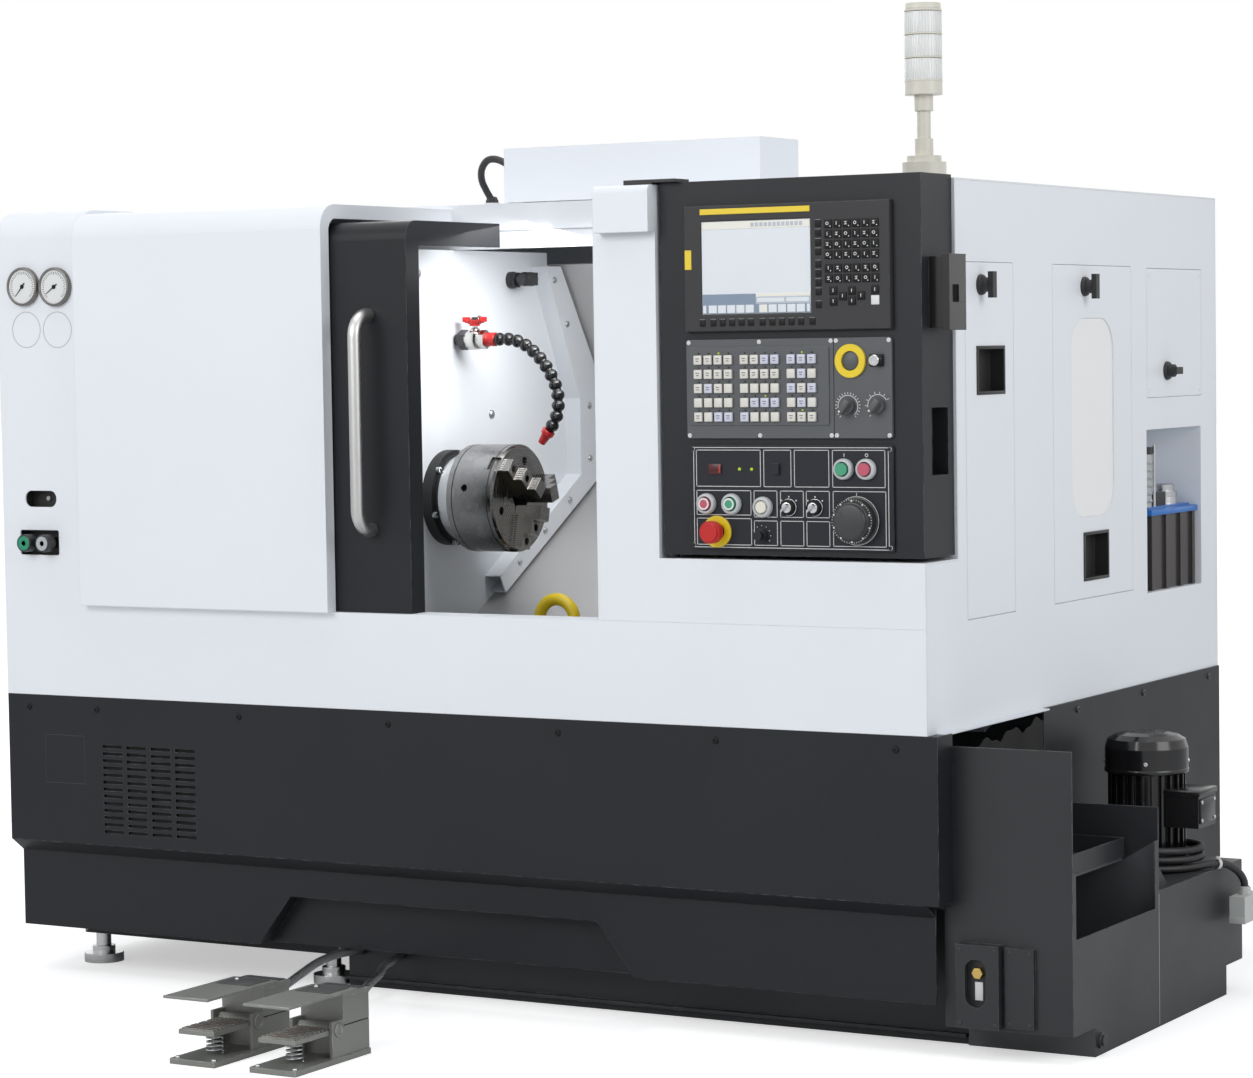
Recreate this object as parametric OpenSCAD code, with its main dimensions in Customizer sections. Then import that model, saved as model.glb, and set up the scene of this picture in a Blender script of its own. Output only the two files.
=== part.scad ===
// Slant-bed turning lathe with a sliding chamber door, a swing-out operator
// console, a coolant tank with its pump and two foot pedals.
// All sizes in mm. X runs along the spindle, Y to the back, Z up from the floor.

/* [Guard] */
// Width of the white guard
body_w = 2021; // [2005:1:2050]
// Depth of the white guard
body_d = 1398; // [1380:1:1440]
// Height of the roof
body_top = 1515; // [1512:1:1530]
// Height where the white guard meets the dark base
base_top = 560; // [550:1:575]
// Height of the sill under the door
sill_z = 742; // [738:1:748]
// Thickness of the guard sheet
sheet = 3; // [2.5:0.5:3.5]
// Bend radius along the front of the roof
roof_bend = 50; // [40:1:56]
// Width of the fixed strip left of the door pocket
strip_w = 205; // [200:1:215]
// Height of the lower edge of the base panels above the floor
base_gap = 91; // [85:1:95]
// Height of the step across the base front
step_z = 268; // [260:1:275]
// Set-back of the base front below the step
step_in = 35; // [30:1:40]

/* [Door] */
// How far the pocket stands in front of the guard
pocket_out = 20; // [16:1:24]
// Height of the pocket roof
pocket_top = 1507; // [1503:1:1509]
// Set-back of the door face behind the guard front
door_in = 10; // [10:1:14]
// Height of the door roof
door_top = 1472; // [1466:1:1474]
// Width of the jamb panel between the door opening and the console
jamb_w = 128; // [122:1:130]
// Diameter of the door handle tube
handle_d = 25; // [22:1:28]
// Length of the straight part of the door handle
handle_len = 400; // [360:1:420]

/* [Console] */
// Width of the operator console
console_w = 509; // [505:1:515]
// Depth of the operator console
console_d = 123; // [118:1:124]
// Height of the ledge under the console
ledge_z = 856; // [852:1:860]
// Free height between the ledge and the console
console_gap = 7; // [5:1:9]
// How far the display unit stands out
display_t = 12; // [10:1:14]
// How far the key panel stands out
keys_t = 6; // [5:1:8]
// How far the switch panel stands out
switch_t = 5; // [4:1:7]
// Cap diameter of the push buttons
button_d = 22; // [20:1:24]
// Travel of the push buttons
button_travel = 4; // [3:0.5:5]
// Cap diameter of the emergency stop button
estop_d = 40; // [36:1:42]
// Diameter of the handwheel
wheel_d = 78; // [70:1:80]

/* [Spindle and slides] */
// Spindle axis behind the guard front
axis_y = 395; // [392:1:398]
// Spindle axis above the floor
axis_z = 940; // [936:1:944]
// Diameter of the spindle in the headstock
spindle_d = 120; // [116:1:122]
// Through bore of the spindle and chuck
bore_d = 52; // [48:1:53]
// Diameter of the chuck
chuck_d = 210; // [206:1:214]
// Length of the chuck
chuck_len = 105; // [100:1:110]
// Width of the chuck jaws
jaw_w = 30; // [28:1:32]
// Height of the inner jaw step above the chuck face
jaw_h = 60; // [56:1:64]
// Slope of the slant bed in degrees
slant = 30; // [29.5:0.5:30.5]
// Diameter of the turret disc
turret_d = 300; // [280:1:305]
// Travel of the saddle along the spindle
saddle_travel = 160; // [150:1:160]
// Travel of the cross slide down the slope
cross_travel = 100; // [90:1:100]
// Free running clearance between moving pieces
run_gap = 0.5; // [0.4:0.1:0.6]

/* [Fluids and services] */
// Height of the coolant tank
tank_h = 245; // [240:1:250]
// How far the coolant tank and chip box stand out past the guard
tank_out = 239; // [234:1:254]
// Back of the coolant tank
tank_y1 = 880; // [875:1:888]
// Height of the front panel of the chip box
chip_top = 538; // [530:1:540]
// Diameter of the pump motor body
pump_d = 145; // [140:1:148]
// Diameter of the pump cable
cable_d = 15; // [14:1:16]
// Diameter of the pedal conduits
conduit_d = 16; // [15:1:16]
// Diameter of the roof hose
hose_d = 15; // [14:1:16]
// Width of one foot pedal
pedal_w = 96; // [92:1:98]
// Height of one foot pedal
pedal_h = 122; // [118:1:126]
// Diameter of the signal tower lenses
lens_d = 64; // [60:1:68]
// Diameter of the pressure gauges
gauge_d = 75; // [72:1:78]
// Height of the cover on the roof
cover_h = 116; // [112:1:120]

/* [Hidden] */
$fn = 48;
white = [0.90, 0.92, 0.94];
dark = [0.24, 0.25, 0.27];
black = [0.06, 0.06, 0.07];
steel = [0.72, 0.73, 0.74];
iron = [0.55, 0.58, 0.60];
yellow = [0.93, 0.74, 0.08];
red = [0.78, 0.10, 0.09];
green = [0.10, 0.52, 0.36];
blue = [0.13, 0.38, 0.72];
beige = [0.84, 0.81, 0.72];
amber = [0.55, 0.33, 0.12];

// Places that keep their share of the guard's width and depth
function at_x(x) = x * body_w / 2021;
function at_y(y) = 60 + (y - 60) * (body_d - 60) / 1338;
wall_x = at_x(798);
tank_x1 = body_w + tank_out;

// Console box and its pivot
console_x1 = body_w - 5;
console_x0 = console_x1 - console_w;
console_y0 = 7;
console_z0 = ledge_z + console_gap;
console_z1 = body_top + 5;
notch_x = console_x0 - 6;
notch_y = console_y0 + console_d + 2;
pivot_x = console_x0 + 12;
pivot_y = console_y0 + 12;
face_switch = console_y0 - switch_t;
face_keys = console_y0 - keys_t;

// Push buttons as places on the console face, from its lower left corner
at_stop = [91, 91];
at_start = [141, 91];
at_on = [361, 153];
at_off = [404, 153];
at_estop = [111, 42];
at_feed = [370, 261];
at_speed = [427, 262];
at_wheel = [384, 64];
stem_d = 10;

// Slope of the bed: a point on the way cover and the folded cover profile
way_y = 550;
way_z = 735;
function on_slant(s, n) = [
    way_y + s * cos(slant) - n * sin(slant),
    way_z + s * sin(slant) + n * cos(slant)];
recess_in = 125;
way_line = [on_slant(-112, 0), on_slant(435, 0), [942, 1157], [785, 1402]];
bed_x0 = wall_x + 2;
bed_x1 = body_w - recess_in - 16;
bed_y1 = body_d - 58;
foot_x = at_x(690);
ring_x = at_x(1052);
saddle_x0 = at_x(1250);
saddle_x1 = at_x(1690);
head_x0 = saddle_x1 - 208;
cover_x1 = saddle_x0 - saddle_travel - 5;
rail_top = -20;

// Chuck faces along the spindle
nose_x = wall_x + 30;
chuck_x0 = nose_x + 34;
chuck_x1 = chuck_x0 + chuck_len;
jaw_turn = 17;
slot_w = jaw_w + 2 * run_gap;
slot_depth = 22;

// Door, its pocket and the jamb it closes against
jamb_x = notch_x - jamb_w;
pocket_x = at_x(795);
door_x0 = at_x(340);
door_x1 = at_x(965);
door_z0 = sill_z + 0.4;
handle_x = door_x1 - 84;
handle_y = -40;
handle_z = 1098;

// Chip box and tank
chip_y0 = 60;
chip_y1 = 455;
chip_x0 = body_w + 1;
tank_x0 = at_x(700);
tank_y0 = 164;
pump_x = tank_x1 - 127;
pump_y = 720;

// Side doors as [y0, y1, z0, z1] on the right side wall
door1 = [at_y(171), at_y(378), 746, 1371];
door2 = [at_y(555), at_y(939), 746, 1371];
hatch = [at_y(1020), at_y(1314), 1116, 1369];
recess = [at_y(1014), at_y(1308), 735, 1054];
leaf_gap = 0.6;

// Pedals
pedal_xs = [842, 1013];
pedal_y0 = -604;
pedal_y1 = -362;
treadle_y = -455;
treadle_z = 58;

// Cable over the tank edge and the drain stub on the tank end
cable_x = tank_x1 + 33;
drain_out = 10;

// Middle of the whole machine on the floor
mid_x = (tank_x1 + drain_out) / 2;
mid_y = (pedal_y0 + body_d) / 2;

// Shapes used by several pieces
module at_origin() { translate([-mid_x, -mid_y, 0]) children(); }
module block(a, b) { translate(a) cube(b - a); }
module along_x(x0, x1) { translate([x0, 0, 0]) rotate([90, 0, 90]) linear_extrude(x1 - x0) children(); }
module along_y(y0, y1) { translate([0, y1, 0]) rotate([90, 0, 0]) linear_extrude(y1 - y0) children(); }
module along_z(z0, z1) { translate([0, 0, z0]) linear_extrude(z1 - z0) children(); }
module rod_x(d, x0, x1, y, z) { translate([x0, y, z]) rotate([0, 90, 0]) cylinder(d = d, h = x1 - x0); }
module rod_y(d, y0, y1, x, z) { translate([x, y1, z]) rotate([90, 0, 0]) cylinder(d = d, h = y1 - y0); }
module rod_z(d, z0, z1, x, y) { translate([x, y, z0]) cylinder(d = d, h = z1 - z0); }
module round_rect(x0, x1, y0, y1, r) {
    translate([x0 + r, y0]) square([x1 - x0 - 2 * r, y1 - y0]);
    translate([x0, y0 + r]) square([x1 - x0, y1 - y0 - 2 * r]);
    for (x = [x0 + r, x1 - r])
        for (y = [y0 + r, y1 - r])
            translate([x, y]) circle(r);
}
// Bent sheet: up from [x0, y0], round a bend, then level to x1 at height y1
module bent(x0, y0, x1, y1, r, t) {
    translate([x0, y0]) square([t, y1 - r - y0]);
    translate([x0 + r, y1 - t]) square([x1 - x0 - r, t]);
    translate([x0 + r, y1 - r]) intersection() {
        difference() {
            circle(r);
            circle(r - t);
        }
        translate([-r, 0]) square(r);
    }
}
// The filled area under such a bent sheet
module bent_area(x0, y0, x1, y1, r) {
    translate([x0, y0]) square([x1 - x0, y1 - r - y0]);
    translate([x0 + r, y1 - r]) square([x1 - x0 - r, r]);
    translate([x0 + r, y1 - r]) intersection() {
        circle(r);
        translate([-r, 0]) square(r);
    }
}
// Folded sheet along a line of points
function unit(v) = v / norm(v);
function side(a, b) = [-unit(b - a)[1], unit(b - a)[0]];
function beside(p, i, t) =
    i == 0 ? p[0] + t * side(p[0], p[1]) :
    i == len(p) - 1 ? p[i] + t * side(p[i - 1], p[i]) :
    let (n = side(p[i - 1], p[i]), m = unit(n + side(p[i], p[i + 1])))
    p[i] + m * t / (m * n);
function moved(p, t) = [for (i = [0 : len(p) - 1]) beside(p, i, t)];
function strip(p, a, b) = concat(moved(p, a), [for (i = [len(p) - 1 : -1 : 0]) beside(p, i, b)]);
module on_slope() { translate([0, way_y, way_z]) rotate([slant, 0, 0]) children(); }
module at_axis() { translate([0, axis_y, axis_z]) children(); }
module on_console(p) { translate([console_x0 + p[0], 0, console_z0 + p[1]]) children(); }
// Round tube swept along points, n sides
function way(p, i) = unit(p[min(i + 1, len(p) - 1)] - p[max(i - 1, 0)]);
function across(d) = unit(cross(d, abs(d[2]) > 0.9 ? [1, 0, 0] : [0, 0, 1]));
function carry(u, d) = unit(u - (u * d) * d);
function frames(p, i = 0, u = undef) =
    i == len(p) ? [] :
    let (d = way(p, i), v = i == 0 ? across(d) : carry(u, d))
    concat([[v, cross(d, v)]], frames(p, i + 1, v));
function rings(p, r, n) = let (f = frames(p)) [
    for (i = [0 : len(p) - 1])
        for (k = [0 : n - 1])
            p[i] + (is_list(r) ? r[i] : r) * (cos(360 * k / n) * f[i][0] + sin(360 * k / n) * f[i][1])];
function walls(m, n) = [
    for (i = [0 : m - 2])
        for (k = [0 : n - 1])
            [i * n + k, i * n + (k + 1) % n, (i + 1) * n + (k + 1) % n, (i + 1) * n + k]];
module tube(p, d, n = 10) {
    m = len(p);
    polyhedron(rings(p, d / 2, n), concat(walls(m, n),
        [[for (k = [n - 1 : -1 : 0]) k]],
        [[for (k = [0 : n - 1]) (m - 1) * n + k]]), convexity = 8);
}
// Smooth points through a short hand-chosen route
function mix(a, b, c, d, t) = 0.5 * (2 * b + (c - a) * t + (2 * a - 5 * b + 4 * c - d) * t * t
    + (3 * b - a - 3 * c + d) * t * t * t);
function smooth(p, k) = concat([
    for (i = [0 : len(p) - 2])
        for (j = [0 : k - 1])
            mix(p[max(i - 1, 0)], p[i], p[i + 1], p[min(i + 2, len(p) - 1)], j / k)], [p[len(p) - 1]]);

// One casting: hollow pedestal, sloping bed with rails, rear legs and front brackets
module slant_bed() color(iron) {
    top = on_slant(470, -45);
    difference() {
        union() {
            along_x(bed_x0, bed_x1) polygon([on_slant(-115, -45), top, [bed_y1, top[1]], [bed_y1, 60],
                [900, 60], [900, 620], on_slant(-115, -200)]);
            block([60, 150, 60], [foot_x, bed_y1, 640]);
            block([foot_x - 20, 150, 560], [bed_x0 + 40, bed_y1, 640]);
        }
        block([bed_x0 + 40, 945, 59], [at_x(1300), bed_y1 - 45, 860]);
        block([at_x(1340), 945, 59], [bed_x1 - 40, bed_y1 - 45, 860]);
        block([110, 200, 59], [foot_x - 50, bed_y1 - 50, 600]);
        rod_x(120, 50, 120, 700, 330);
    }
    on_slope() {
        for (s = [20, 320])
            block([bed_x0 + 10, s, -60], [bed_x1 - 10, s + 30, rail_top]);
        for (s = [-112, 412])
            block([bed_x0, s, -60], [cover_x1, s + 20, -sheet]);
    }
    for (x = [90, at_x(560)])
        block([x, sheet, 470], [x + 90, 150, 530]);
    block([ring_x - 30, 350, 580], [ring_x + 30, 520, 606]);
}

// Jack screws with round pads under the casting
module levelling_feet() color(steel)
    for (p = [[86, 176], [86, bed_y1 - 26], [foot_x - 35, 176], [bed_x0 + 24, bed_y1 - 22],
            [bed_x1 - 20, 922], [bed_x1 - 20, bed_y1 - 22]]) {
        rod_z(80, 0, 18, p[0], p[1]);
        rod_z(46, 18, 32, p[0], p[1]);
        rod_z(30, 32, 60, p[0], p[1]);
    }

// Headstock casting bored for the spindle
module headstock() color(iron)
    difference() {
        union() {
            along_x(130, wall_x - sheet) polygon([[235, 640], [625, 640], [625, 1000],
                [545, 1095], [265, 1095], [235, 1050]]);
            for (x = [at_x(180), at_x(420), at_x(660)])
                block([x, 205, 640], [x + 60, 235, 670]);
        }
        rod_x(spindle_d + 2 * run_gap, 129, wall_x, axis_y, axis_z);
        rod_x(spindle_d + 50, 240, wall_x - 158, axis_y, axis_z);
        block([240, 290, 639], [wall_x - 158, 560, 800]);
    }

// Spindle with its belt pulley and rotary chuck cylinder
module spindle() color(steel)
    difference() {
        union() {
            rod_x(spindle_d, 60, chuck_x0, axis_y, axis_z);
            rod_x(168, nose_x + run_gap, chuck_x0, axis_y, axis_z);
            rod_x(200, 20, 75, axis_y, axis_z);
            for (x = [80 : 12 : 116])
                rod_x(230, x, x + 8, axis_y, axis_z);
            rod_x(214, 78, 126, axis_y, axis_z);
        }
        rod_x(bore_d, 19, chuck_x0 + 1, axis_y, axis_z);
    }

// Chuck body with three radial slots, wrench and mounting holes
module chuck_body() color(steel)
    difference() {
        union() {
            rod_x(chuck_d, chuck_x0, chuck_x1 - 4, axis_y, axis_z);
            rod_x(chuck_d - 8, chuck_x1 - 4, chuck_x1, axis_y, axis_z);
        }
        rod_x(bore_d, chuck_x0 - 1, chuck_x1 + 1, axis_y, axis_z);
        at_axis() for (k = [0 : 2]) rotate([jaw_turn + 120 * k, 0, 0]) {
            block([chuck_x1 - slot_depth - run_gap, 28, -slot_w / 2], [chuck_x1 + 1, chuck_d, slot_w / 2]);
            rotate([60, 0, 0]) {
                rod_x(17, chuck_x1 - 14, chuck_x1 + 1, 74, 0);
                rod_x(11, chuck_x1 - 40, chuck_x1 + 1, 74, 0);
                rod_z(14, chuck_d / 2 - 12, chuck_d / 2 + 1, chuck_x0 + 40, 0);
            }
        }
    }

// Three stepped jaws with their clamp screw holes
module chuck_jaw_1() jaw(0);
module chuck_jaw_2() jaw(1);
module chuck_jaw_3() jaw(2);
module jaw(k) color(steel)
    at_axis() rotate([jaw_turn + 120 * k, 0, 0])
        difference() {
            translate([0, 0, -jaw_w / 2]) linear_extrude(jaw_w) polygon([
                [chuck_x1 - slot_depth, 34], [chuck_x1 + run_gap, 34], [chuck_x1 + run_gap, 17],
                [chuck_x1 + jaw_h, 17], [chuck_x1 + jaw_h, 44], [chuck_x1 + jaw_h * 0.7, 44], [chuck_x1 + jaw_h * 0.7, 72],
                [chuck_x1 + jaw_h * 0.4, 72], [chuck_x1 + jaw_h * 0.4, 99],
                [chuck_x1 - slot_depth, 99]]);
            for (r = [58, 85]) {
                rod_x(15, chuck_x1 + 12, chuck_x1 + jaw_h, r, 0);
                rod_x(9, chuck_x1 + 2, chuck_x1 + jaw_h, r, 0);
            }
        }

// Saddle on the rails with the folded cover that slides over the fixed one
module saddle() color(steel) {
    on_slope() difference() {
        block([saddle_x0, -60, rail_top + run_gap], [saddle_x1, 410, 40]);
        for (s = [100, 230])
            block([saddle_x0 + 60, s, -30], [saddle_x1 - 60, s + 90, 20]);
    }
    along_x(wall_x + 42 + saddle_travel, saddle_x0) polygon(strip(way_line, run_gap, run_gap + sheet));
    along_x(saddle_x0, saddle_x1) polygon(strip([way_line[1], way_line[2], way_line[3]],
        run_gap, run_gap + sheet));
}

// Cross slide with the turret head standing on it
module cross_slide() color(iron) on_slope() {
    difference() {
        block([saddle_x0 + 50, 60, 40 + run_gap], [saddle_x1 - 5, 390, 90]);
        block([saddle_x0 + 80, 120, 40], [saddle_x1 - 40, 320, 60]);
    }
    block([head_x0, 140, 90], [saddle_x1 - 40, 320, 200]);
    rod_x(190, head_x0, saddle_x1 - 40, 230, 255);
    rod_x(140, saddle_x1 - 40, saddle_x1, 230, 255);
}

// Twelve-sided turret disc with tool pockets
module turret() color(steel) on_slope()
    difference() {
        translate([0, 230, 255]) union() {
            rotate([0, 90, 0]) translate([0, 0, head_x0 - 52])
                cylinder(d = turret_d, h = 52 - run_gap, $fn = 12);
            rod_x(120, head_x0 - 70, head_x0 - 52, 0, 0);
        }
        translate([0, 230, 255]) for (a = [0 : 30 : 330]) rotate([a + 15, 0, 0]) {
            block([head_x0 - 53, turret_d / 2 - 34, -11], [head_x0 - 30, turret_d / 2 + 1, 11]);
            rod_x(12, head_x0 - 53, head_x0 - 12, turret_d / 2 - 52, 0);
        }
    }

// White chamber wall with the seal ring round the spindle nose and the channel
// frame that wipes the way covers
module spindle_wall() color(white) {
    difference() {
        along_x(wall_x - sheet, wall_x) polygon([[62, 640], [440, 640], way_line[0],
            way_line[1], way_line[2], way_line[3], [785, 1427], [62, 1427]]);
        rod_x(spindle_d + 8, wall_x - 10, wall_x + 1, axis_y, axis_z);
    }
    difference() {
        union() {
            rod_x(188, wall_x, nose_x - 8, axis_y, axis_z);
            rod_x(172, nose_x - 8, nose_x, axis_y, axis_z);
            at_axis() for (a = [0 : 60 : 300])
                rotate([a + 20, 0, 0]) rod_x(9, nose_x - 9, nose_x - 3, 88.5, 0);
        }
        rod_x(spindle_d + 8, wall_x - 1, nose_x + 1, axis_y, axis_z);
    }
    difference() {
        along_x(wall_x, wall_x + 37) polygon([on_slant(0, 8), on_slant(426, 8), [934, 1157],
            [779, 1398], [721, 1398], [848, 1126], [848, 968], on_slant(0, 48)]);
        along_x(wall_x - 1, wall_x + 34) polygon([on_slant(-20, 11), on_slant(422, 11), [930, 1156],
            [774, 1400], [726, 1400], [852, 1127], [852, 963], on_slant(-20, 45)]);
    }
}

// Folded steel cover over the ways, fixed to the chamber wall
module way_cover() color(steel) {
    along_x(wall_x, cover_x1) polygon(strip(way_line, -sheet, 0));
    low = way_line[0];
    block([wall_x, low[0] - 12, low[1] - 34], [cover_x1, low[0] - 12 + sheet, low[1] - 1.5]);
    along_x(wall_x, cover_x1) polygon([[low[0] - 12, low[1] - 4.5], [low[0] + 2, low[1] - 2],
        [low[0], low[1]], [low[0] - 12, low[1] - 1.5]]);
}

// Screw-in lifting eye standing on the bed front
module lifting_ring() color(yellow) {
    translate([ring_x, 385, 706]) rotate([90, 0, 0]) rotate_extrude() translate([39, 0]) circle(12);
    rod_z(26, 620, 668, ring_x, 385);
    rod_z(44, 606, 624, ring_x, 385);
}

// Front sheet below the door with its sill, and the strip left of the pocket
module front_apron() color(white) {
    block([0, 0, base_top], [body_w, sheet, sill_z]);
    block([strip_w - 20, sheet, sill_z - sheet], [jamb_x, 60, sill_z]);
    block([strip_w - 20, 60 - sheet, 640], [jamb_x, 60, sill_z - sheet]);
    difference() {
        along_x(0, strip_w) bent(0, sill_z, 435, body_top, roof_bend, sheet);
        along_y(-1, sheet + 1) {
            round_rect(57, 135, 933, 965, 15);
            round_rect(42, 139, 838, 887, 4);
        }
    }
    along_x(strip_w - sheet, strip_w) difference() {
        bent_area(sheet, sill_z, 435, body_top - sheet, roof_bend - sheet);
        bent_area(30, sill_z - 1, 436, body_top - 30, roof_bend - 28);
    }
    difference() {
        block([39, sheet, 835], [142, 34, 890]);
        block([42, sheet - 1, 838], [139, 31, 887]);
    }
    difference() {
        block([54, sheet, 930], [138, 30, 968]);
        block([57, sheet - 1, 933], [135, 27, 965]);
    }
}

// Bent sleeve the door slides into, with a rim at its open end
module pocket_cover() color(white) {
    y0 = -pocket_out;
    along_x(strip_w, pocket_x) bent(y0, sill_z, 432, pocket_top, roof_bend - 3, sheet);
    for (x = [strip_w, pocket_x - sheet])
        along_x(x, x + sheet) difference() {
            bent_area(y0 + sheet, sill_z, 432, pocket_top - sheet, roof_bend - 3 - sheet);
            bent_area(door_in - 3, sill_z - 1, 433, door_top + 8, roof_bend - 27);
        }
    block([strip_w + sheet, y0 + sheet, sill_z], [pocket_x - sheet, 0, sill_z + sheet]);
}

// Right front: jamb, panel under the console, console notch, corner cap and pivot plate
module right_front_panel() color(white) {
    z1 = body_top - roof_bend;
    along_y(0, sheet) polygon([[jamb_x, sill_z], [body_w, sill_z], [body_w, ledge_z],
        [notch_x, ledge_z], [notch_x, z1], [jamb_x, z1]]);
    along_x(jamb_x, notch_x) bent(0, z1 - 1, 435, body_top, roof_bend, sheet);
    for (x = [jamb_x, notch_x - sheet])
        along_x(x, x + sheet) difference() {
            bent_area(sheet, x == jamb_x ? sill_z : ledge_z, x == jamb_x ? 435 : notch_y,
                body_top - sheet, roof_bend - sheet);
            if (x == jamb_x)
                bent_area(62, sill_z - 1, 436, body_top - 62, 8);
        }
    block([notch_x - sheet, notch_y, ledge_z - sheet], [body_w, notch_y + sheet, body_top - sheet]);
    block([notch_x - sheet, sheet, ledge_z - sheet], [body_w, notch_y, ledge_z]);
    block([notch_x, notch_y, body_top - sheet], [body_w, 435, body_top]);
    block([jamb_x + sheet, sheet, sill_z], [body_w - sheet, 60, sill_z + sheet]);
    along_x(jamb_x + 15, notch_x) bent(-25, 1434, 70, body_top + 2, 12, sheet);
    for (x = [jamb_x + 15, notch_x - sheet])
        along_x(x, x + sheet) bent_area(-22.5, 1434, 52, body_top - 0.5, 9);
    block([jamb_x + 70, -8, body_top + 2], [notch_x, 44, body_top + 5.4]);
    block([jamb_x + 70, -8, body_top + 5.4], [notch_x + 46, 44, body_top + 11]);
}

// Roof sheet with the flange behind the door and a gland for the roof hose
gland_x = at_x(732);
lid_x0 = gland_x + 98;
lid_x1 = at_x(1411);
module roof_panel() color(white) {
    difference() {
        block([0, 435, body_top - sheet], [body_w, body_d, body_top]);
        rod_z(20, body_top - 10, body_top + 1, gland_x, 682);
    }
    block([strip_w, 432, 1427], [jamb_x, 435, body_top]);
    block([strip_w, 435, 1427], [jamb_x, 452, 1430]);
    block([strip_w, 426, 1462], [jamb_x, 432, 1465]);
    difference() {
        rod_z(32, body_top, body_top + 14, gland_x, 682);
        rod_z(hose_d + 0.6, body_top - 1, body_top + 15, gland_x, 682);
    }
}

// Sheet cover over the axis drive, standing on short feet
module top_cover() color(white) {
    z0 = body_top + 8;
    difference() {
        block([lid_x0, 574, z0], [lid_x1, 732, body_top + cover_h]);
        block([lid_x0 + sheet, 577, z0 - 1], [lid_x1 - sheet, 729, body_top + cover_h - sheet]);
        rod_x(18, lid_x0 - 2, lid_x0 + 4, 620, body_top + 78);
    }
    for (x = [lid_x0 + 20, lid_x1 - 40])
        for (y = [577, 709])
            block([x, y, body_top], [x + 20, y + 20, z0 + 30]);
    difference() {
        rod_x(28, lid_x0 - 12, lid_x0, 620, body_top + 78);
        rod_x(hose_d + 0.6, lid_x0 - 13, lid_x0 + 1, 620, body_top + 78);
    }
}

// Left side and back of the guard in one fold, with louvres and a hole for bar stock
module rear_guard() color(white) {
    difference() {
        along_x(0, sheet) bent_area(sheet, base_top, body_d, body_top - sheet, roof_bend - sheet);
        rod_x(bore_d + 58, -1, sheet + 1, axis_y, axis_z);
    }
    difference() {
        block([0, body_d - sheet, base_top], [body_w, body_d, body_top - sheet]);
        for (x = [250 : 400 : 1650])
            for (k = [0 : 7])
                block([at_x(x), body_d - 10, 1180 + 26 * k], [at_x(x + 180), body_d + 1, 1190 + 26 * k]);
    }
}

// Rim behind a side opening that a leaf rests against
module leaf_rim(o) {
    x = body_w - sheet;
    difference() {
        block([x - sheet, o[0] - 10, o[2] - 8], [x, o[1] + 10, o[3] + 10]);
        block([x - 9, o[0] + 12, o[2] + 12], [x + 9, o[1] - 12, o[3] - 12]);
        block([x - run_gap, o[0], o[2]], [x + 9, o[1], o[3]]);
    }
}

// Right side wall with its openings and the recess for the lubrication unit
module right_side_panel() color(white) {
    x = body_w - sheet;
    difference() {
        along_x(x, body_w) polygon([[sheet, base_top], [body_d - sheet, base_top],
            [body_d - sheet, body_top - sheet], [notch_y + sheet, body_top - sheet],
            [notch_y + sheet, ledge_z - sheet], [sheet, ledge_z - sheet]]);
        for (o = [door1, door2, hatch, recess])
            block([x - 1, o[0], o[2]], [body_w + 1, o[1], o[3]]);
    }
    leaf_rim(door1);
    leaf_rim(door2);
    leaf_rim(hatch);
    difference() {
        block([body_w - recess_in, recess[0] - sheet, recess[2] - sheet],
            [x, recess[1] + sheet, recess[3] + sheet]);
        block([body_w - recess_in + sheet, recess[0], recess[2]], [body_w, recess[1], recess[3]]);
    }
    block([x, 40, base_top - sheet], [body_w, body_d - sheet, base_top]);
    block([x, 40, base_top - sheet], [body_w + 14, at_y(494), base_top]);
}

// Lift-out leaves with latch knobs, pull pans and, on the rear one, a window pane
// One edge of a leaf is rounded, and it tilts about that edge
module leaf(o, top = false) {
    x = body_w - sheet;
    r = sheet / 2;
    z0 = o[2] + leaf_gap;
    z1 = o[3] - leaf_gap;
    along_y(o[0] + leaf_gap, o[1] - leaf_gap) {
        translate([x, top ? z0 : z0 + r]) square([sheet, z1 - z0 - r]);
        translate([x + r, top ? z1 - r : z0 + r]) circle(r);
    }
}
module pull_cut(p) { block([body_w - 9, p[0], p[2]], [body_w + 9, p[1], p[3]]); }
module pull_pan(p) {
    x = body_w - sheet;
    difference() {
        block([x - 26, p[0] - 3, p[2] - 3], [x, p[1] + 3, p[3] + 3]);
        block([x - 23, p[0], p[2]], [body_w, p[1], p[3]]);
    }
}
module latch(y, z, wide = 8, tall = 23) {
    rod_x(34, body_w, body_w + 6, y, z);
    rod_x(24, body_w + 6, body_w + 18, y, z);
    translate([body_w + 18, y, z]) block([0, -wide, -tall], [10, wide, tall]);
}
pull1 = [at_y(222), at_y(332), 1143, 1219];
pull2 = [at_y(698), at_y(810), 784, 866];

module side_door_front() color(white) {
    difference() {
        leaf(door1);
        pull_cut(pull1);
    }
    latch(at_y(237), 1331);
    pull_pan(pull1);
}
module side_door_rear() color(white) {
    difference() {
        leaf(door2);
        pull_cut(pull2);
        along_x(body_w - 9, body_w + 9) round_rect(at_y(642), at_y(847), 900, 1272, 60);
    }
    latch(at_y(706), 1331);
    pull_pan(pull2);
    block([body_w - sheet - 4, at_y(630), 888], [body_w - sheet, at_y(859), 1284]);
}
module service_hatch() color(white) {
    leaf(hatch, true);
    latch(at_y(1123), 1168, 17, 7);
}

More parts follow.
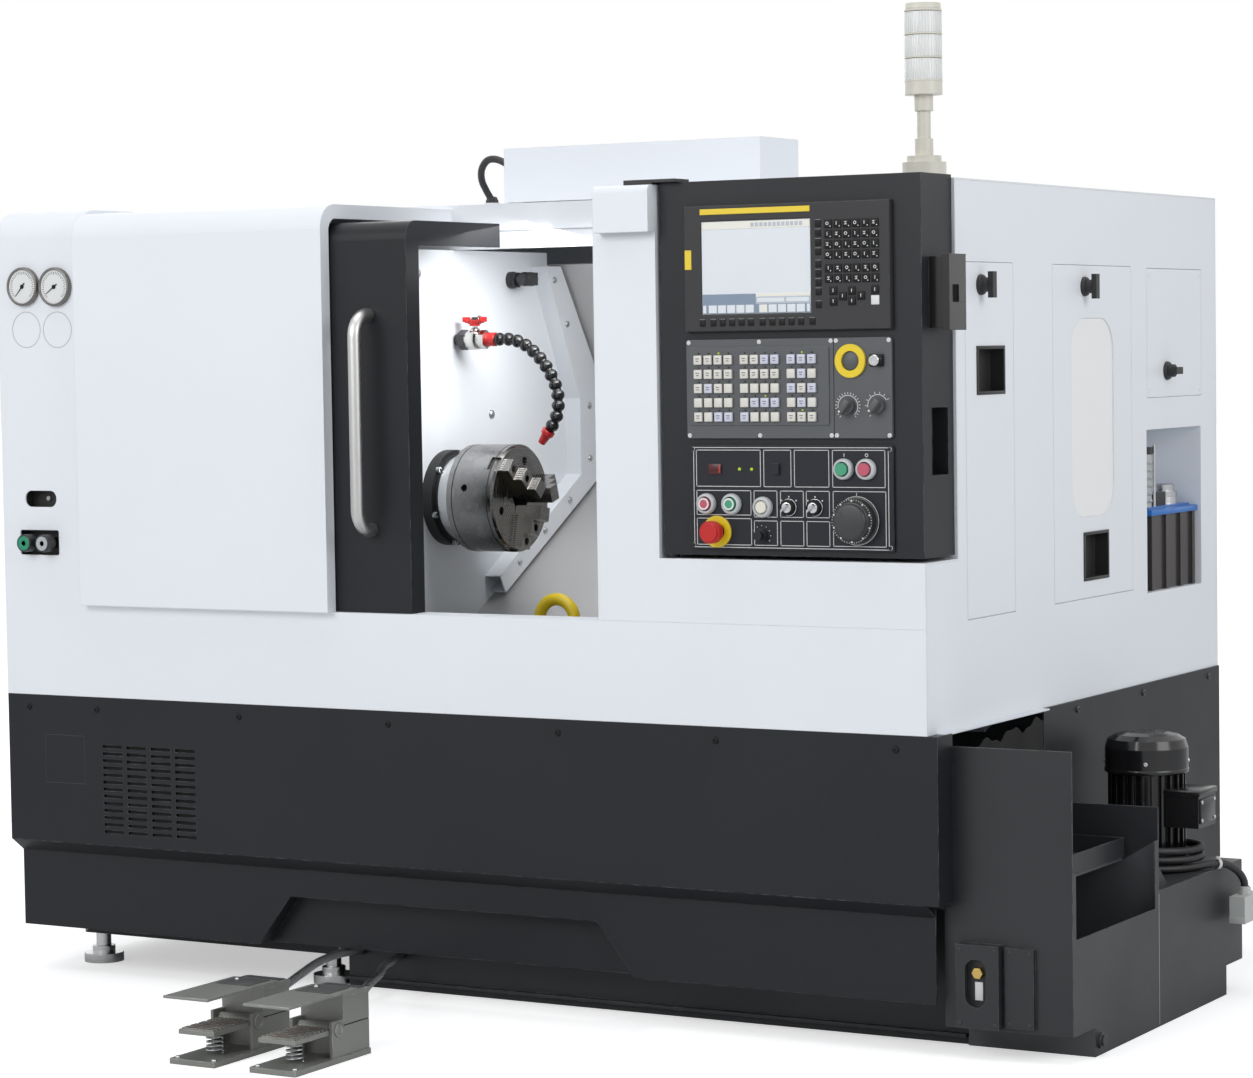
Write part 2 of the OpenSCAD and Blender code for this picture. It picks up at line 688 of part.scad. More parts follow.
// Dark base front with a vent grid, a step and a toe recess
module base_front_panel() color(dark) {
    x1 = body_w + 19;
    toe = [[at_x(580), base_gap], [at_x(656), 189], [at_x(1338), 189], [at_x(1416), base_gap]];
    difference() {
        block([0, 0, step_z], [x1, sheet, base_top]);
        for (c = [0 : 3])
            for (r = [0 : 12])
                block([236 + 59 * c, -1, 292 + 14 * r], [284 + 59 * c, 9, 298 + 14 * r]);
    }
    along_x(0, x1) polygon([[sheet, base_top - sheet], [40, base_top - sheet],
        [40, base_top], [sheet, base_top]]);
    along_x(0, x1) polygon([[0, step_z], [step_in, step_z - 10], [step_in + sheet, step_z - 10],
        [step_in + sheet, step_z - 7], [sheet, step_z + sheet], [0, step_z + sheet]]);
    along_y(step_in, step_in + sheet) difference() {
        translate([0, base_gap]) square([x1 - 23, step_z - 8 - base_gap]);
        polygon(toe);
    }
    along_y(step_in + 37, step_in + 40) polygon([[at_x(580) - 10, base_gap], [at_x(656) - 6, 193],
        [at_x(1338) + 6, 193], [at_x(1416) + 10, base_gap]]);
    along_y(step_in + sheet, step_in + 37) difference() {
        polygon([[at_x(580) - 3, base_gap], [at_x(656) - 2.5, 192],
            [at_x(1338) + 2.5, 192], [at_x(1416) + 3, base_gap]]);
        polygon(toe);
    }
    block([x1 - sheet, sheet, step_z], [x1, chip_y0, base_top]);
}

// Dark base sheets round the right, back and left
module base_side_panel() color(dark) {
    block([body_w, at_y(494), base_gap + tank_h - 80], [body_w + sheet, body_d, base_top]);
    block([0, body_d - sheet, base_gap], [body_w + sheet, body_d, base_top]);
    block([0, 40, base_gap], [sheet, body_d, base_top]);
    block([body_w, tank_y1 + 20, base_gap], [body_w + sheet, body_d, base_top]);
}

// Chamber door: bent front and roof with a rim at the right end
module door_panel() color(dark) {
    along_x(door_x0, door_x1) bent(door_in, door_z0, 338, door_top, 35, sheet);
    for (x = [door_x0, door_x1 - sheet])
        along_x(x, x + sheet) difference() {
            bent_area(door_in + sheet, door_z0, 338, door_top - sheet, 35 - sheet);
            bent_area(door_in + 44, door_z0 - 1, 339, door_top - 46, 6);
        }
    block([door_x0 + sheet, door_in + sheet, door_z0], [door_x1 - sheet, door_in + 30, door_z0 + sheet]);
}

// Stainless tube handle
module door_handle() color(steel) {
    r = 40;
    h = handle_len / 2;
    y1 = handle_y + r;
    translate([handle_x, 0, handle_z]) {
        rod_z(handle_d, -h + r, h - r, 0, handle_y);
        for (s = [0, 180])
            rotate([0, s, 0]) {
                translate([0, y1, h - r]) rotate([90, 0, -90])
                    rotate_extrude(angle = 90) translate([r, 0]) circle(d = handle_d);
                rod_y(handle_d, y1, door_in, 0, h);
            }
    }
}

// Console shell with a recessed grip, a socket box and its lower pivot
module console_box() color(dark) {
    a = [console_x0, console_y0, console_z0];
    b = [console_x1, console_y0 + console_d, console_z1];
    difference() {
        block(a, b);
        block(a + [sheet, sheet, sheet], b + [-sheet, 9, -sheet]);
        for (p = [at_stop, at_start, at_on, at_off, at_estop, at_feed, at_speed, at_wheel])
            on_console(p) rod_y(stem_d + 2 * run_gap, 0, 30, 0, 0);
        block([console_x1 - 9, 41, 1004], [console_x1 + 9, 108, 1120]);
    }
    difference() {
        block([console_x1 - 33, 38, 1001], [console_x1 - sheet, 111, 1123]);
        block([console_x1 - 30, 41, 1004], [console_x1, 108, 1120]);
    }
    block([console_x0 + sheet, b[1] - 14, console_z0 + sheet], [console_x0 + 30, b[1], console_z1 - sheet]);
    block([console_x1 - 30, b[1] - 14, console_z0 + sheet], [console_x1 - sheet, b[1], console_z1 - sheet]);
    rod_z(22, ledge_z + 0.4, console_z0, pivot_x, pivot_y);
    block([console_x1, 36, 1256], [console_x1 + 26, 96, 1378]);
    block([console_x1 + 26, 32, 1252], [console_x1 + 40, 100, 1382]);
    block([console_x1 + 40, 58, 1300], [console_x1 + 46, 74, 1330]);
}

// Display and key unit with its soft keys and letter keys
module display_unit() color(black) {
    y0 = console_y0 - display_t;
    on_console([0, 0]) {
        difference() {
            along_y(y0, console_y0) round_rect(55, 455, 393, 613, 6);
            block([90, y0 - 1, 423], [304, y0 + 3, 585]);
        }
        for (k = [0 : 8])
            block([312, y0 - 2, 426 + 17.2 * k], [324, y0, 436 + 17.2 * k]);
        for (k = [0 : 11])
            block([92 + 18 * k, y0 - 2, 402], [106 + 18 * k, y0, 412]);
        for (c = [0 : 5]) {
            for (r = [0 : 3])
                block([339 + 16 * c, y0 - 2, 541 + 14 * r], [351 + 16 * c, y0, 551 + 14 * r]);
            for (r = [0 : 1])
                block([339 + 16 * c, y0 - 2, 495 + 14 * r], [351 + 16 * c, y0, 505 + 14 * r]);
        }
        for (p = [[355, 466], [373, 466], [391, 466], [373, 478], [373, 454], [339, 448], [419, 448]])
            block([p[0], y0 - 2, p[1]], [p[0] + 12, y0, p[1] + 9]);
    }
}

// Machine key panel with its raised key field
module key_panel() color(dark) difference() {
    on_console([0, 0]) {
        along_y(face_keys, console_y0) round_rect(54, 454, 206, 379, 5);
        along_y(face_keys - 2, face_keys) round_rect(61, 335, 229, 365, 4);
        for (g = [[72, 4], [164, 4], [256, 3]])
            for (c = [0 : g[1] - 1])
                for (r = [0 : 4])
                    block([g[0] + 20 * c, face_keys - 5, 236 + 25 * r],
                        [g[0] + 20 * c + 15, face_keys - 2, 251 + 25 * r]);
        rod_y(22, face_keys - 4, face_keys, 426, 339);
        rod_y(14, face_keys - 12, face_keys - 4, 426, 339);
        difference() {
            rod_y(58, face_keys - 5, face_keys, 377, 339);
            rod_y(34, face_keys - 9, face_keys + 9, 377, 339);
        }
    }
    for (p = [at_feed, at_speed])
        on_console(p) rod_y(stem_d + 2 * run_gap, -20, 30, 0, 0);
}

// Switch panel with bezels, key switches, rocker and small rotary switch
module switch_panel() color(black) difference() {
    on_console([0, 0]) {
        along_y(face_switch, console_y0) round_rect(57, 455, 11, 194, 4);
        for (p = [at_stop, at_start, at_on, at_off, [203, 86]])
            translate([p[0], 0, p[1]]) rod_y(button_d + 8, face_switch - 7, face_switch, 0, 0);
        rod_y(button_d - 2, face_switch - 12, face_switch - 7, 203, 86);
        difference() {
            rod_y(56, face_switch - 3, face_switch, at_estop[0], at_estop[1]);
            rod_y(30, face_switch - 9, face_switch, at_estop[0], at_estop[1]);
        }
        for (x = [253, 304]) {
            rod_y(26, face_switch - 5, face_switch, x, 86);
            rod_y(17, face_switch - 9, face_switch - 5, x, 86);
            translate([x, 0, 86]) rotate([0, 40, 0]) block([-2, face_switch - 22, -8], [2, face_switch - 9, 8]);
        }
        rod_y(24, face_switch - 6, face_switch, 199, 36);
        rod_y(16, face_switch - 18, face_switch - 6, 199, 36);
        block([222, face_switch - 5, 143], [236, face_switch, 163]);
        block([96, face_switch - 2, 143], [120, face_switch, 161]);
        rod_y(5, face_switch - 2, face_switch, 157, 152);
        rod_y(5, face_switch - 2, face_switch, 181, 152);
        for (x = [64, 448])
            for (z = [18, 187])
                rod_y(7, face_switch - 2, face_switch, x, z);
    }
    for (p = [at_stop, at_start, at_on, at_off])
        on_console(p) {
            rod_y(button_d + 1.2, -30, face_switch - 1, 0, 0);
            rod_y(stem_d + 2 * run_gap, -30, 30, 0, 0);
        }
    for (p = [at_estop, at_wheel])
        on_console(p) rod_y(stem_d + 2 * run_gap, -20, 30, 0, 0);
}

// Push button: cap in its bezel and a stem through the panel
module button(p) on_console(p) {
    y1 = face_switch - button_travel - 1.6;
    rod_y(button_d, face_switch - 14, y1, 0, 0);
    rod_y(stem_d, y1, console_y0 + 14, 0, 0);
}
module cycle_stop_button() color(red) button(at_stop);
module cycle_start_button() color(green) button(at_start);
module power_on_button() color(green) button(at_on);
module power_off_button() color(red) button(at_off);
module estop_button() color(red) on_console(at_estop) {
    rod_y(estop_d, face_switch - 30, face_switch - 16, 0, 0);
    rod_y(estop_d - 8, face_switch - 34, face_switch - 30, 0, 0);
    rod_y(24, face_switch - 16, face_switch - 7, 0, 0);
    rod_y(stem_d, face_switch - 7, console_y0 + 14, 0, 0);
}

// Override knobs and the pulse handwheel
module knob(p) on_console(p) {
    rod_y(34, face_keys - 6, face_keys - run_gap, 0, 0);
    rod_y(26, face_keys - 22, face_keys - 6, 0, 0);
    block([-2, face_keys - 24, 2], [2, face_keys - 22, 13]);
    rod_y(stem_d, face_keys - run_gap, console_y0 + 14, 0, 0);
}
module feed_knob() color(black) knob(at_feed);
module spindle_knob() color(black) knob(at_speed);
module handwheel() color(black) on_console(at_wheel) {
    rod_y(wheel_d, face_switch - 20, face_switch - 5, 0, 0);
    rod_y(wheel_d - 12, face_switch - 23, face_switch - 20, 0, 0);
    rod_y(wheel_d - 24, face_switch - 5, face_switch - run_gap, 0, 0);
    rod_y(stem_d, face_switch - run_gap, console_y0 + 14, 0, 0);
}

// Two pressure gauges on the left strip and the two adjusting knobs in their recess
module pressure_gauges() color(steel) {
    for (p = [[68, 1368], [148, 1366]])
        difference() {
            rod_y(gauge_d, -10, 0, p[0], p[1]);
            rod_y(gauge_d - 8, -11, -7, p[0], p[1]);
        }
    for (x = [71, 117]) {
        rod_y(34, -26, -6, x, 862);
        rod_y(22, -6, 31, x, 862);
    }
}

// Oil tank with ribs, and the lubrication pump on the tank lid
lube_z = recess[2] + 152;
module lube_tank() color(amber) {
    block([body_w - 105, at_y(1064), recess[2]], [body_w - 15, at_y(1298), lube_z]);
    for (y = [at_y(1064), at_y(1140), at_y(1218), at_y(1298) - 14])
        block([body_w - 16, y, recess[2]], [body_w - 10, y + 14, lube_z]);
}
module lube_pump() color(steel) {
    z = lube_z + 12;
    block([body_w - 111, at_y(1058), lube_z], [body_w - 8, at_y(1304), lube_z + 8]);
    block([body_w - 100, at_y(1072), lube_z + 8], [body_w - 20, at_y(1292), z]);
    rod_z(58, z, z + 104, body_w - 58, at_y(1108));
    rod_z(62, z + 104, z + 118, body_w - 58, at_y(1108));
    block([body_w - 84, at_y(1150), z], [body_w - 34, at_y(1200), z + 26]);
    rod_z(52, z, z + 14, body_w - 58, at_y(1250));
    rod_z(40, z + 14, z + 26, body_w - 58, at_y(1250));
    for (dx = [-26, 26])
        for (dy = [-26, 26])
            rod_z(6, z, z + 122, body_w - 58 + dx, at_y(1108) + dy);
}

// Coolant tank: open under the machine, decked over at the pump
module coolant_tank() color(dark) {
    plan = [[tank_x0, tank_y0], [chip_x0 - 3, tank_y0], [chip_x0 - 3, chip_y1], [tank_x1, chip_y1],
        [tank_x1, tank_y1], [tank_x0, tank_y1]];
    inner = [[tank_x0 + 4, tank_y0 + 4], [chip_x0 - 7, tank_y0 + 4], [chip_x0 - 7, chip_y1 + 4],
        [tank_x1 - 4, chip_y1 + 4], [tank_x1 - 4, tank_y1 - 4], [tank_x0 + 4, tank_y1 - 4]];
    difference() {
        along_z(0, tank_h) polygon(plan);
        along_z(4, tank_h + 1) intersection() {
            polygon(inner);
            square([tank_x1, tank_y1 - 89]);
        }
        along_z(59, tank_h + 1) polygon(inner);
        block([tank_x0 - 1, tank_y1 - 85, -1], [tank_x1 + 1, tank_y1 + 1, 55]);
    }
    difference() {
        block([chip_x0 - 40, chip_y1 + 4, tank_h - 4], [tank_x1 - 4, tank_y1 - 4, tank_h]);
        rod_z(110, tank_h - 9, tank_h + 9, pump_x, pump_y);
    }
    block([tank_x0, tank_y0 - 14, 14], [chip_x0 - 3, tank_y0 + 2, 20]);
    along_x(tank_x1 - 24, tank_x1 - 20) polygon([[chip_y1, tank_h - 2],
        [545, tank_h - 2], [545, tank_h], [chip_y1, tank_h + 78]]);
}

// Chip box beside the base with its pan, level-gauge cover and bracket
module chip_tray() color(dark) {
    toe_y = chip_y0 + 95;
    block([chip_x0, chip_y0, 51], [tank_x1, chip_y0 + sheet, chip_top]);
    block([chip_x0, toe_y, 0], [tank_x1 - sheet, chip_y1, 4]);
    block([chip_x0, toe_y, 0], [tank_x1, toe_y + sheet, 54]);
    block([chip_x0, chip_y0 + sheet, 51], [tank_x1, toe_y + sheet, 54]);
    block([tank_x1 - sheet, toe_y, 0], [tank_x1, chip_y1, 215]);
    block([tank_x1 - sheet, chip_y0, 51], [tank_x1, toe_y + sheet, 215]);
    block([tank_x1 - sheet, chip_y0, 51], [tank_x1, chip_y0 + 15, 330]);
    block([chip_x0, toe_y, 0], [chip_x0 + sheet, chip_y1, 230]);
    block([chip_x0, chip_y0 + sheet, 51], [chip_x0 + sheet, toe_y + sheet, 230]);
    block([chip_x0, chip_y1 - sheet, 0], [tank_x1, chip_y1, 396]);
    block([tank_x1 - sheet, chip_y1 - 18, 215], [tank_x1, chip_y1, 337]);
    for (x = [40, 150])
        block([chip_x0 + x, chip_y0 + sheet, 297], [chip_x0 + x + 20, chip_y1 - sheet, 305]);
    difference() {
        block([at_x(1300), 150, 305], [tank_x1 - 60, 440, 340]);
        block([at_x(1300) - 1, 152, 307], [tank_x1 - 62, 438, 341]);
    }
    difference() {
        block([chip_x0 + 29, chip_y0 - 20, 55], [chip_x0 + 109, chip_y0, 200]);
        along_y(chip_y0 - 21, chip_y0 - 4) round_rect(chip_x0 + 46, chip_x0 + 86, 92, 175, 19);
    }
    rod_y(12, chip_y0 - 12, chip_y0 - 4, chip_x0 + 66, 150);
    block([chip_x0 + 115, chip_y0 - 8, 58], [chip_x0 + 169, chip_y0, 197]);
    rod_x(28, tank_x1 - 2, tank_x1 + drain_out / 2, toe_y + 22, 26);
    rod_x(20, tank_x1 - 2, tank_x1 + drain_out, toe_y + 22, 26);
}

// Vertical coolant pump with fins, fan cover and terminal box
module coolant_pump() color(black) translate([pump_x, pump_y, tank_h]) {
    rod_z(176, 0, 12, 0, 0);
    rod_z(pump_d - 20, 12, 182, 0, 0);
    for (a = [0 : 15 : 345])
        rotate([0, 0, a]) block([pump_d / 2 - 14, -2, 30], [pump_d / 2, 2, 178]);
    rotate_extrude() polygon([[0, 180], [pump_d / 2 + 5, 180], [pump_d / 2 + 5, 226],
        [pump_d / 2, 242], [pump_d / 2 - 14, 250], [40, 254], [0, 254]]);
    block([32, -42, 82], [118, 46, 142]);
    block([30, -44, 142], [121, 48, 152]);
    rod_z(16, -140, 0, 30, 0);
    rod_z(90, -200, 0, 0, 0);
    rod_y(22, 46, 54, 80, 106);
}

// Cable from the terminal box over the tank edge, a spare coil and the plug
cable_lead = [[-47, 774, 106], [-47, 792, 105], [-56, 816, 98], [-82, 832, 83], [-114, 832, 64],
    [-144.4, 818.5, 46]];
cable_tail = [[-36.4, 677.7, 7.5], [-23, 707, 7.5], [-8, 738, 9], [9, 768, 6], [24, 791, -9],
    [32, 803, -28], [33, 806, -46]];
module pump_cable() color(black)
    for (p = [cable_lead, cable_tail])
        tube(smooth([for (q = p) [tank_x1 + q[0], q[1], tank_h + q[2]]], 3), cable_d, 10);
module pump_cable_coil() color(black) translate([pump_x, pump_y, tank_h])
    rotate_extrude() for (k = [0 : 2])
        translate([100, cable_d / 2 + k * cable_d * 0.95]) circle(d = cable_d);
module pump_plug() color(beige) translate([cable_x, 806, tank_h - 46])
    difference() {
        union() {
            block([-15, -42, -58], [15, 44, -8]);
            rod_z(24, -8, 0, 0, 0);
        }
        block([-11, -36, -59], [11, 38, -40]);
    }

// Signal tower: foot, pole, collars and end caps, then the lenses
tower = [body_w - 76, 174];
module signal_tower() color(beige) translate([tower[0], tower[1], body_top]) {
    rod_z(77, 0, 30, 0, 0);
    rod_z(60, 30, 41, 0, 0);
    rod_z(32, 41, 71, 0, 0);
    rod_z(24, 71, 119, 0, 0);
    rod_z(33, 119, 147, 0, 0);
    rod_z(lens_d + 2, 147, 171, 0, 0);
    rod_z(14, 171, 293, 0, 0);
    rod_z(lens_d - 2, 293, 305, 0, 0);
}
module signal_lenses() color([0.92, 0.93, 0.92]) translate([tower[0], tower[1], body_top])
    difference() {
        union() for (k = [0 : 2]) {
            rod_z(lens_d, 171 + 40.6 * k, 209 + 40.6 * k, 0, 0);
            rod_z(lens_d - 6, 208 + 40.6 * k, k == 2 ? 293 : 212 + 40.6 * k, 0, 0);
        }
        rod_z(40, 170, 294, 0, 0);
    }

// Hose from the roof cover down to the roof gland
roof_route = [[92, 620, 78], [70, 621, 82], [46, 628, 82], [24, 643, 70], [8, 662, 48],
    [1, 678, 24], [0, 682, 4]];
module roof_hose() color(black)
    tube(smooth([for (q = roof_route) [gland_x + q[0], q[1], body_top + q[2]]], 3), hose_d, 10);

// Pedal housings with base plate, cheeks, pivot pin, lid and shield plate
module pedal_bodies() color(steel)
    for (x = pedal_xs) {
        x1 = x + pedal_w;
        block([x, pedal_y0 + 14, 0], [x1, pedal_y1, 10]);
        block([x + 3, -440, 10], [x1 - 3, pedal_y1, 62]);
        block([x + 5, -438, 62], [x1 - 5, pedal_y1 + 2, 64]);
        block([x + 3, -440, 64], [x1 - 3, pedal_y1, pedal_h - 10]);
        block([x, -444, pedal_h - 10], [x1, pedal_y1, pedal_h - 4]);
        block([x, pedal_y0, pedal_h - 4], [x1, -400, pedal_h]);
        for (c = [x + 3, x1 - 9])
            block([c, -474, 10], [c + 6, -440, 74]);
        rod_x(10, x + 3, x1 - 3, treadle_y, treadle_z);
        rod_y(24, pedal_y1, pedal_y1 + 10, x + pedal_w / 2, 86);
    }

// Ribbed treadle on the pivot pin
module treadle(x) color(steel) difference() {
    union() {
        block([x + 10, -576, treadle_z - 7], [x + pedal_w - 10, treadle_y, treadle_z + 1]);
        for (k = [0 : 8])
            block([x + 14, -572 + 12 * k, treadle_z + 1], [x + pedal_w - 14, -567 + 12 * k, treadle_z + 4]);
        rod_x(22, x + 10, x + pedal_w - 10, treadle_y, treadle_z);
    }
    rod_x(10 + 2 * run_gap, x, x + pedal_w, treadle_y, treadle_z);
}
module treadle_left() treadle(pedal_xs[0]);
module treadle_right() treadle(pedal_xs[1]);

// Braided conduits from the pedals to the tank front
left_route = [[890, -352, 86], [884, -310, 90], [858, -220, 96], [807, -90, 94], [766, 30, 86],
    [745, 100, 78], [735, 164, 70]];
right_route = [[1061, -352, 86], [1052, -310, 88], [1007, -215, 90], [944, -90, 82], [892, 0, 77],
    [850, 90, 70], [822, 164, 66]];
module conduit_left() color(steel) tube(smooth(left_route, 4), conduit_d, 10);
module conduit_right() color(steel) tube(smooth(right_route, 4), conduit_d, 10);

// Ball valve on the chamber wall, wash-down elbow and wall bolts
valve_x = wall_x + 43;
valve_y = 437;
valve_z = 1250;
module coolant_valve() color(steel) {
    rod_x(22, wall_x, valve_x - 32, valve_y, valve_z);
    translate([valve_x - 32, valve_y, valve_z]) rotate([0, 90, 0]) cylinder(d = 40, h = 16, $fn = 6);
    rod_x(34, valve_x - 16, valve_x + 16, valve_y, valve_z);
    translate([valve_x + 16, valve_y, valve_z]) rotate([0, 90, 0]) cylinder(d = 38, h = 12, $fn = 6);
    rod_z(12, valve_z, valve_z + 26, valve_x, valve_y);
    rod_x(34, wall_x, wall_x + 10, 640, 1370);
    rod_x(22, wall_x + 10, wall_x + 44, 640, 1370);
    block([wall_x + 30, 626, 1358], [wall_x + 58, 654, 1384]);
    for (p = [[120, 800], [120, 1100], [120, 1380], [300, 1380], [560, 1100], [560, 900], [250, 700]])
        rod_x(14, wall_x, wall_x + 4, p[0], p[1]);
}
module valve_handle() color(red) {
    z = valve_z + 26;
    rod_z(20, z + run_gap, z + 12, valve_x, valve_y);
    block([valve_x - 26, valve_y - 8, z + 4], [valve_x + 26, valve_y + 8, z + 10]);
    for (x = [valve_x - 28, valve_x + 14])
        block([x, valve_y - 11, z + 4], [x + 14, valve_y + 11, z + 13]);
}

// Jointed coolant hose: collar, beads and nozzle in one swept shape
hose_route = [[28, 0], [46, 0], [47, 0], [66, 0], [86, -1], [104, -6],
    [122, -15], [140, -29], [156, -45], [170, -64], [181, -84],
    [188, -104], [190, -125], [187, -146], [179, -164], [168, -179],
    [167, -180], [150, -204]];
hose_sizes = [30, 30, 24, 24, 24, 24, 24, 24, 24, 24, 24, 24, 24, 24, 24, 24, 25, 9];
module coolant_hose() color(black)
    tube([for (q = hose_route) [valve_x + q[0], valve_y, valve_z + q[1]]], hose_sizes, 12);

// Sub-parts of the machine
// Which sub-part to draw

at_origin() slant_bed();
at_origin() levelling_feet();
at_origin() headstock();
at_origin() spindle();
at_origin() chuck_body();
at_origin() chuck_jaw_1();
at_origin() chuck_jaw_2();
at_origin() chuck_jaw_3();
at_origin() saddle();
at_origin() cross_slide();
at_origin() turret();
at_origin() spindle_wall();
at_origin() way_cover();
at_origin() lifting_ring();
at_origin() front_apron();
at_origin() pocket_cover();
at_origin() right_front_panel();
at_origin() roof_panel();
at_origin() top_cover();
at_origin() rear_guard();
at_origin() right_side_panel();
at_origin() side_door_front();
at_origin() side_door_rear();
at_origin() service_hatch();
at_origin() base_front_panel();
at_origin() base_side_panel();
at_origin() door_panel();
at_origin() door_handle();
at_origin() console_box();
at_origin() display_unit();
at_origin() key_panel();
at_origin() switch_panel();
at_origin() cycle_stop_button();
at_origin() cycle_start_button();
at_origin() power_on_button();
at_origin() power_off_button();
at_origin() estop_button();
at_origin() feed_knob();
at_origin() spindle_knob();
at_origin() handwheel();
at_origin() pressure_gauges();
at_origin() lube_tank();
at_origin() lube_pump();
at_origin() coolant_tank();
at_origin() chip_tray();
at_origin() coolant_pump();
at_origin() pump_cable();
at_origin() pump_cable_coil();
at_origin() pump_plug();
at_origin() signal_tower();
at_origin() signal_lenses();
at_origin() roof_hose();
at_origin() pedal_bodies();
at_origin() treadle_left();
at_origin() treadle_right();
at_origin() conduit_left();
at_origin() conduit_right();
at_origin() coolant_valve();
at_origin() valve_handle();
at_origin() coolant_hose();
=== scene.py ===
import bpy, bmesh, math
from math import cos, sin, pi, radians
from mathutils import Matrix, Vector


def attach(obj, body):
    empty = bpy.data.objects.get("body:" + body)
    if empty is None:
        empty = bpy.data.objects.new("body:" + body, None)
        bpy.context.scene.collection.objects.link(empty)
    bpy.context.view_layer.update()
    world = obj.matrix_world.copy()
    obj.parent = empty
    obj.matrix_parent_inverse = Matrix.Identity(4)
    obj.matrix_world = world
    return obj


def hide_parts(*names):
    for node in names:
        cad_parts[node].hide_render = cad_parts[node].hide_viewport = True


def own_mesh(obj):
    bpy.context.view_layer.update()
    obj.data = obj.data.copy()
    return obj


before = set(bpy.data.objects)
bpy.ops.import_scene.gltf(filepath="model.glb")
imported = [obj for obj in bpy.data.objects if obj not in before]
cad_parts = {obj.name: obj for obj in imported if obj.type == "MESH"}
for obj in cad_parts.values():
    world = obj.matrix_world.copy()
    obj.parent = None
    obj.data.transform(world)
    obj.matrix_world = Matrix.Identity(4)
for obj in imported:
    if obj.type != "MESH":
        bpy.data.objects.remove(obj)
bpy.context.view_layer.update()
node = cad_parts

# Camera: a long lens at standing height, in front and to the right of the machine,
# at the angle of the photograph.
MID_X, MID_Y = 1.135, 0.397          # the machine's middle, from its front left floor corner


def spot(x, y, z):
    """A point measured in millimetres from the front left floor corner of the guard."""
    return Vector((x / 1000 - MID_X, y / 1000 - MID_Y, z / 1000))


yaw, pitch, roll = 0.5262, -0.0559, -0.0154
level_right = Vector((cos(yaw), sin(yaw), 0))
level_ahead = Vector((-sin(yaw), cos(yaw), 0))
up = Vector((0, 0, 1))
ahead = level_ahead * cos(pitch) + up * sin(pitch)
over = up * cos(pitch) - level_ahead * sin(pitch)
right = level_right * cos(roll) + over * sin(roll)
over = over * cos(roll) - level_right * sin(roll)
lens = bpy.data.cameras.new("camera")
FOCAL, PHOTO_W, SENSOR = 3474.17, 1253, 36.0          # pixels, pixels, millimetres
lens.sensor_fit, lens.sensor_width, lens.lens = "HORIZONTAL", SENSOR, FOCAL / PHOTO_W * SENSOR
lens.clip_end = 60
camera = bpy.data.objects.new("camera", lens)
camera.matrix_world = Matrix((
    (right.x, over.x, -ahead.x, 0), (right.y, over.y, -ahead.y, 0),
    (right.z, over.z, -ahead.z, 0), (0, 0, 0, 1)))
camera.location = spot(4544.4, -5355.7, 1235.8)
bpy.context.scene.collection.objects.link(camera)
bpy.context.scene.camera = camera
bpy.context.scene.view_settings.view_transform = "Standard"

# Studio: a pale floor, a pale surround and four large soft lamps, so that paint renders
# about as its colour is written, and two small lamps in the working chamber.
world = bpy.data.worlds.new("surround")
bpy.context.scene.world = world
world.use_nodes = True
tree = world.node_tree
tree.nodes.clear()
out = tree.nodes.new("ShaderNodeOutputWorld")
blend = tree.nodes.new("ShaderNodeMixShader")
seen = tree.nodes.new("ShaderNodeBackground")
fill = tree.nodes.new("ShaderNodeBackground")
seen.inputs["Color"].default_value = (1, 1, 1, 1)
seen.inputs["Strength"].default_value = 1.0
fill.inputs["Color"].default_value = (0.93, 0.96, 1.0, 1)
fill.inputs["Strength"].default_value = 0.42
ray = tree.nodes.new("ShaderNodeLightPath")
most = tree.nodes.new("ShaderNodeMath")
most.operation = "MAXIMUM"
shiny = tree.nodes.new("ShaderNodeMath")
shiny.operation = "MAXIMUM"
tree.links.new(ray.outputs["Is Camera Ray"], most.inputs[0])
tree.links.new(ray.outputs["Is Transmission Ray"], most.inputs[1])
tree.links.new(most.outputs[0], shiny.inputs[0])
tree.links.new(ray.outputs["Is Glossy Ray"], shiny.inputs[1])
tree.links.new(shiny.outputs[0], blend.inputs[0])
tree.links.new(fill.outputs[0], blend.inputs[1])
tree.links.new(seen.outputs[0], blend.inputs[2])
tree.links.new(blend.outputs[0], out.inputs[0])


def soft_lamp(name, place, aim, size, watts):
    data = bpy.data.lights.new(name, "AREA")
    data.shape, data.size, data.size_y, data.energy = "RECTANGLE", size[0], size[1], watts
    lamp = bpy.data.objects.new(name, data)
    lamp.location = place
    lamp.rotation_euler = (Vector(aim) - Vector(place)).to_track_quat("-Z", "Y").to_euler()
    bpy.context.scene.collection.objects.link(lamp)


soft_lamp("front_lamp", (-1.2, -5.2, 3.4), (0, 0, 0.9), (3.5, 2.5), 125)
soft_lamp("right_lamp", (5.2, -1.0, 2.8), (0.6, 0, 0.8), (3.0, 2.5), 79)
soft_lamp("top_lamp", (0, 0, 5.0), (0, 0, 0), (4.0, 4.0), 76)
soft_lamp("work_lamp", spot(1230, 330, 1430), spot(800, 430, 1130), (0.35, 0.12), 0.9)
bpy.data.lights["work_lamp"].spread = radians(95)
soft_lamp("chamber_lamp", spot(1120, 420, 1440), spot(960, 500, 800), (0.5, 0.3), 1.7)
soft_lamp("rear_lamp", (-3.0, 4.5, 3.0), (0, 0, 0.8), (3.0, 2.5), 60)

